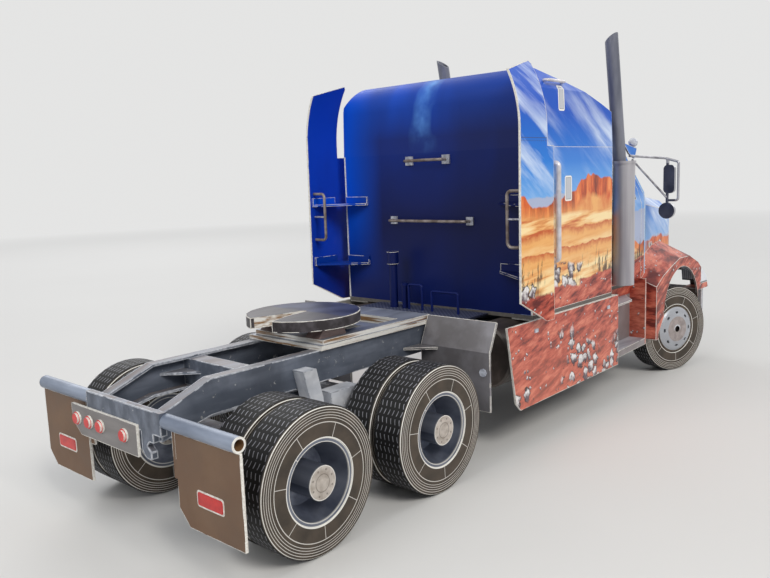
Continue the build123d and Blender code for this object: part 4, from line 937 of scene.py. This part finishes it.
def plain(name, base, light, roughness=0.6, metallic=0.0, coat=0.0, scale=900.0):
    s = Shade(name, roughness, metallic, coat)
    s.bump(s.noise(scale * 1.7, 3.0), 0.2, 0.06 * MM)
    return s.colour(s.tones(base, light, scale, 4.0))


paper_edge = plain("paper_edge", PAPER_WORN, PAPER_WHITE)
worn_edge = plain("worn_edge", linear(140, 145, 155), linear(196, 199, 205))


def new_piece(name, data, material):
    data.materials.append(material)
    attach(placed(name, data), "truck")


def edge_faces(lines, edge, width, keep):
    """Strips of paint on both faces beside one edge, broken where the noise is low."""
    start = edge.verts[0].co
    along = edge.verts[1].co - start
    inward = []
    for face in edge.link_faces:
        side = face.normal.cross(along).normalized()
        if side.dot(face.calc_center_median() - start) < 0:
            side = -side
        inward.append((side, face.normal.copy()))
    outer = (inward[0][1] + inward[1][1]).normalized() * EDGE_LIFT
    steps = max(1, round(along.length / EDGE_STEP))
    stations = []
    for step in range(steps + 1):
        point = start + along * (step / steps)
        fine, coarse = (noise.noise(point * scale) * 0.5 for scale in ROUGH_SCALES)
        stations.append((point, fine + coarse + 0.5))
    for (point, first), (after, second) in zip(stations, stations[1:]):
        if (first + second) / 2 < keep:
            continue
        for side, normal in inward:
            lift = normal * EDGE_LIFT
            corners = [point + outer, after + outer, after + side * width * (EDGE_NARROWEST + second) + lift,
                       point + side * width * (EDGE_NARROWEST + first) + lift]
            lines.faces.new([lines.verts.new(corner) for corner in corners])


def edge_lines(name, names, material, keep, width=EDGE_WIDTH, joint=None):
    """Thin paint along the sharp outer edges of some nodes, uneven and broken, but not at the joint."""
    lines = bmesh.new()
    for node in names:
        card = bmesh.new()
        card.from_mesh(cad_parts[node].data)
        bmesh.ops.remove_doubles(card, verts=card.verts, dist=SAME_PLACE)
        for edge in card.edges:
            folded = len(edge.link_faces) == 2 and edge.is_convex and edge.calc_face_angle(0.0) > FOLD_ANGLE
            level = (edge.verts[0].co.z + edge.verts[1].co.z) / 2
            if joint is not None and abs(level - joint) < JOINT_CLEAR:
                continue
            if folded and edge.calc_length() > EDGE_SHORTEST:
                edge_faces(lines, edge, width, keep)
        card.free()
    new_piece(name, meshed(name, lines), material)


edge_lines("edges_mural", ["sleeper_sides", "side_extenders", "side_skirts", "cab_doors", "cab_sides",
                           "fenders", "hood", "windscreen_frame", "cab_roof", "sun_visor"],
           paper_edge, keep=0.24)
roof_edge = plain("roof_edge", linear(96, 124, 186), linear(190, 204, 228))
edge_lines("edges_roof", ["sleeper_roof"], roof_edge, width=0.12 * MM, keep=0.45, joint=JOINT_Z)
wall_edge = plain("wall_edge", linear(60, 84, 150), linear(150, 168, 206))
edge_lines("edges_blue", ["sleeper_rear_wall"], wall_edge, width=0.10 * MM, keep=0.55, joint=JOINT_Z)
edge_lines("edges_brackets", ["extender_brackets", "air_line_posts"], paper_edge, width=0.12 * MM, keep=0.42)
edge_lines("edges_card", ["mudflaps", "lamp_panel", "quarter_fenders", "step_boxes", "fifth_wheel_base",
                          "bumper", "grille", "tail_lamps", "mudflap_hangers"], paper_edge, keep=0.28)
edge_lines("edges_plate", ["fifth_wheel_plate"], paper_edge, width=0.24 * MM, keep=0.24)
edge_lines("edges_frame", ["frame_rails", "frame_crossmembers", "rear_crossbeam", "bogie_beams"], worn_edge,
           width=0.32 * MM, keep=0.32)

# Trim: handles, wipers, reflectors


def tube(name, points, radius, material, smooth=True):
    """A bent wire through some points."""
    curve = bpy.data.curves.new(name, "CURVE")
    curve.dimensions = "3D"
    curve.bevel_depth = radius
    curve.bevel_resolution = 3
    curve.use_fill_caps = True
    spline = curve.splines.new("NURBS" if smooth else "POLY")
    spline.points.add(len(points) - 1)
    for place, point in zip(spline.points, points):
        place.co = (*point, 1.0)
    spline.order_u = 3
    spline.use_endpoint_u = True
    new_piece(name, curve, material)


silver_trim = plain("silver_trim", linear(138, 138, 148), linear(196, 196, 204), 0.34, 0.5)
dark_trim = plain("dark_trim", linear(34, 34, 38), linear(62, 62, 68), 0.45, 0.2)
reflector_red = plain("reflector_red", linear(180, 26, 26), linear(204, 38, 34), 0.34, coat=0.15, scale=400.0)


UP = Vector((0, 0, 1))
CORNER_STEPS = 4
BEVEL_SHARE = 0.4


def rounded_plate(name, centre, measures, material, out):
    """A thin plate with a bevelled rim, standing off a face.

    Its measures are width, height, depth and the radius of its corners, in millimetres.
    """
    width, height, depth, corner = (measure * MM for measure in measures)
    across = UP.cross(out).normalized()
    form = bmesh.new()
    outline = []
    for sign_u, sign_v, first in ((1, 1, 0), (-1, 1, 1), (-1, -1, 2), (1, -1, 3)):
        for step in range(CORNER_STEPS + 1):
            turn = pi / 2 * (first + step / CORNER_STEPS)
            u = sign_u * (width / 2 - corner) + corner * cos(turn)
            v = sign_v * (height / 2 - corner) + corner * sin(turn)
            outline.append(centre + across * u + UP * v)
    face = form.faces.new([form.verts.new(point) for point in outline])
    face.normal_update()
    if face.normal.dot(out) < 0:
        face.normal_flip()
    risen = bmesh.ops.extrude_face_region(form, geom=[face])["geom"]
    points = [part for part in risen if isinstance(part, bmesh.types.BMVert)]
    bmesh.ops.translate(form, vec=out * depth, verts=points)
    top = [part for part in risen if isinstance(part, bmesh.types.BMFace)]
    bmesh.ops.bevel(form, geom=list(top[0].edges), offset=depth * BEVEL_SHARE, segments=2, affect="EDGES")
    new_piece(name, meshed(name, form), material)


def fin_handle_bars():
    """The middle leg of each D-shaped handle inside a fin."""
    ends = (46.7, 53.0)
    for name, side in SIDES:
        bar = [at(97.5, side * across, 86.5) for across in ends]
        tube(f"fin_handle_bar_{name}", bar, 0.42 * MM, silver_trim)


def door_handles():
    """A small plate with a pull on each door."""
    measures = (5.6, 2.6, 0.35, 0.8)
    bends = ((189.6, 41.3), (189.8, 42.3), (191.5, 42.5), (193.2, 42.3), (193.4, 41.3))
    for name, side in SIDES:
        centre = at(191.5, side * 41.0, 79.0)
        rounded_plate(f"door_plate_{name}", centre, measures, silver_trim, Vector((0, side, 0)))
        pull = [at(station, side * across, 79.2) for station, across in bends]
        tube(f"door_pull_{name}", pull, 0.32 * MM, silver_trim)


SCREEN_FOOT = (227.0, 91.0)
SCREEN_HEAD = (208.0, 112.4)


def on_screen(across, share, lift):
    """A point on the windscreen: distance to the left, share of the way up, and height off the glass."""
    run = Vector((SCREEN_HEAD[0] - SCREEN_FOOT[0], SCREEN_HEAD[1] - SCREEN_FOOT[1]))
    out = Vector((run.y, -run.x)).normalized()
    station = SCREEN_FOOT[0] + run.x * share + out.x * lift
    return at(station, across, SCREEN_FOOT[1] + run.y * share + out.y * lift)


# Wiper parts: name, radius, material, whether it bends smoothly, and its points as on_screen takes them
WIPER_PARTS = (
    ("pivot", 0.6 * MM, dark_trim, False, ((9.0, 0.03, 0.0), (9.0, 0.03, 0.9))),
    ("arm", 0.24 * MM, silver_trim, True, ((9.0, 0.03, 0.9), (14.0, 0.07, 1.1), (22.0, 0.16, 0.7))),
    ("blade", 0.22 * MM, dark_trim, True, ((13.5, 0.09, 0.45), (22.0, 0.16, 0.6), (30.5, 0.23, 0.45))),
)


def wipers():
    """Two arms that rest along the foot of the windscreen, each with its blade."""
    for name, side in SIDES:
        for part, radius, material, smooth, places in WIPER_PARTS:
            points = [on_screen(side * across, share, lift) for across, share, lift in places]
            tube(f"wiper_{part}_{name}", points, radius, material, smooth)


def reflectors():
    """A red reflector in a pale rim on each mudflap."""
    back = Vector((-1, 0, 0))
    rear = (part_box("mudflaps")[0].x - AXLE) / MM
    for name, side in SIDES:
        centre = at(rear, side * 38.5, 22.5)
        rounded_plate(f"reflector_rim_{name}", centre, (11.6, 4.6, 0.12, 0.9), paper_edge, back)
        rounded_plate(f"reflector_{name}", centre, (10.6, 3.6, 0.3, 0.6), reflector_red, back)


fin_handle_bars()
door_handles()
wipers()
reflectors()

# Floor, light and camera

BACKDROP = (0.78, 0.78, 0.775, 1.0)
FLOOR_RADIUS = 6.0
FLOOR_TONES = ((0.66, 0.655, 0.64, 1.0), (0.69, 0.685, 0.67, 1.0))
FLOOR_FADE = (0.45, 1.6)
WORLD_COLOUR = (0.92, 0.95, 1.0, 1.0)
WORLD_STRENGTH = 0.42

# Lights: name, place, height aimed at, size, power and, where it isn't white, colour
LIGHTS = (
    ("key", (-0.30, -0.95, 0.85), 0.06, 0.45, 9.0, (1.0, 0.97, 0.92)),
    ("rear", (-1.10, 0.10, 0.80), 0.05, 0.6, 5.0),
    ("left", (0.40, 1.00, 0.70), 0.05, 0.7, 4.0),
    ("front", (1.15, -0.30, 0.75), 0.05, 0.7, 3.5),
)


def seen_rays(tree):
    """1 for camera, glossy and transmission rays."""
    path = tree.nodes.new("ShaderNodeLightPath")
    total = path.outputs["Is Camera Ray"]
    for name in ("Is Glossy Ray", "Is Transmission Ray"):
        either = tree.nodes.new("ShaderNodeMath")
        either.operation = "MAXIMUM"
        tree.links.new(total, either.inputs[0])
        tree.links.new(path.outputs[name], either.inputs[1])
        total = either.outputs[0]
    return total


def stage_floor():
    """A plain pale floor that fades into the backdrop."""
    form = bmesh.new()
    bmesh.ops.create_circle(form, cap_ends=True, segments=96, radius=FLOOR_RADIUS)
    mesh = meshed("floor", form)
    floor = placed("floor", mesh)
    s = Shade("floor", 0.7)
    mesh.materials.append(s.colour(s.tones(*FLOOR_TONES, 3.0, 3.0, 0.3, 0.7)))
    glow = s.node("ShaderNodeEmission", BACKDROP)
    away = s.length(s.x, s.y)
    share = s.times(s.ramp(away, *FLOOR_FADE), seen_rays(s.material.node_tree))
    fade = s.node("ShaderNodeMixShader", share, s.surface.outputs[0], glow.outputs[0])
    s.put(s.nodes["Material Output"].inputs["Surface"], fade.outputs[0])


def world_light():
    world = bpy.data.worlds.new("studio")
    bpy.context.scene.world = world
    world.use_nodes = True
    tree = world.node_tree
    lit = tree.nodes["Background"]
    lit.inputs["Color"].default_value = WORLD_COLOUR
    lit.inputs["Strength"].default_value = WORLD_STRENGTH
    shown = tree.nodes.new("ShaderNodeBackground")
    shown.inputs["Color"].default_value = BACKDROP
    mix = tree.nodes.new("ShaderNodeMixShader")
    tree.links.new(seen_rays(tree), mix.inputs[0])
    tree.links.new(lit.outputs[0], mix.inputs[1])
    tree.links.new(shown.outputs[0], mix.inputs[2])
    tree.links.new(mix.outputs[0], tree.nodes["World Output"].inputs["Surface"])


def area_light(name, place, height, size, power, colour=(1.0, 1.0, 1.0)):
    lamp = bpy.data.lights.new(name, "AREA")
    lamp.energy = power
    lamp.size = size
    lamp.color = colour
    holder = placed(name, lamp)
    holder.location = place
    aim = Vector((0.0, 0.0, height)) - Vector(place)
    holder.rotation_euler = aim.to_track_quat("-Z", "Y").to_euler()


def photo_camera():
    lens = bpy.data.cameras.new("camera")
    lens.sensor_width = SENSOR
    lens.lens = FOCAL_PX / PHOTO_WIDTH * SENSOR
    lens.clip_start = 0.01
    camera = placed("camera", lens)
    aim = Matrix.Rotation(CAMERA_YAW, 3, "Z") @ Matrix.Rotation(CAMERA_PITCH, 3, "X")
    aim = aim @ Matrix.Rotation(CAMERA_ROLL, 3, "Y") @ Matrix.Rotation(pi / 2, 3, "X")
    camera.location = CAMERA_AT
    camera.rotation_euler = aim.to_euler()
    bpy.context.scene.camera = camera


stage_floor()
world_light()
for light in LIGHTS:
    area_light(*light)
photo_camera()
bpy.context.scene.view_settings.view_transform = "Standard"
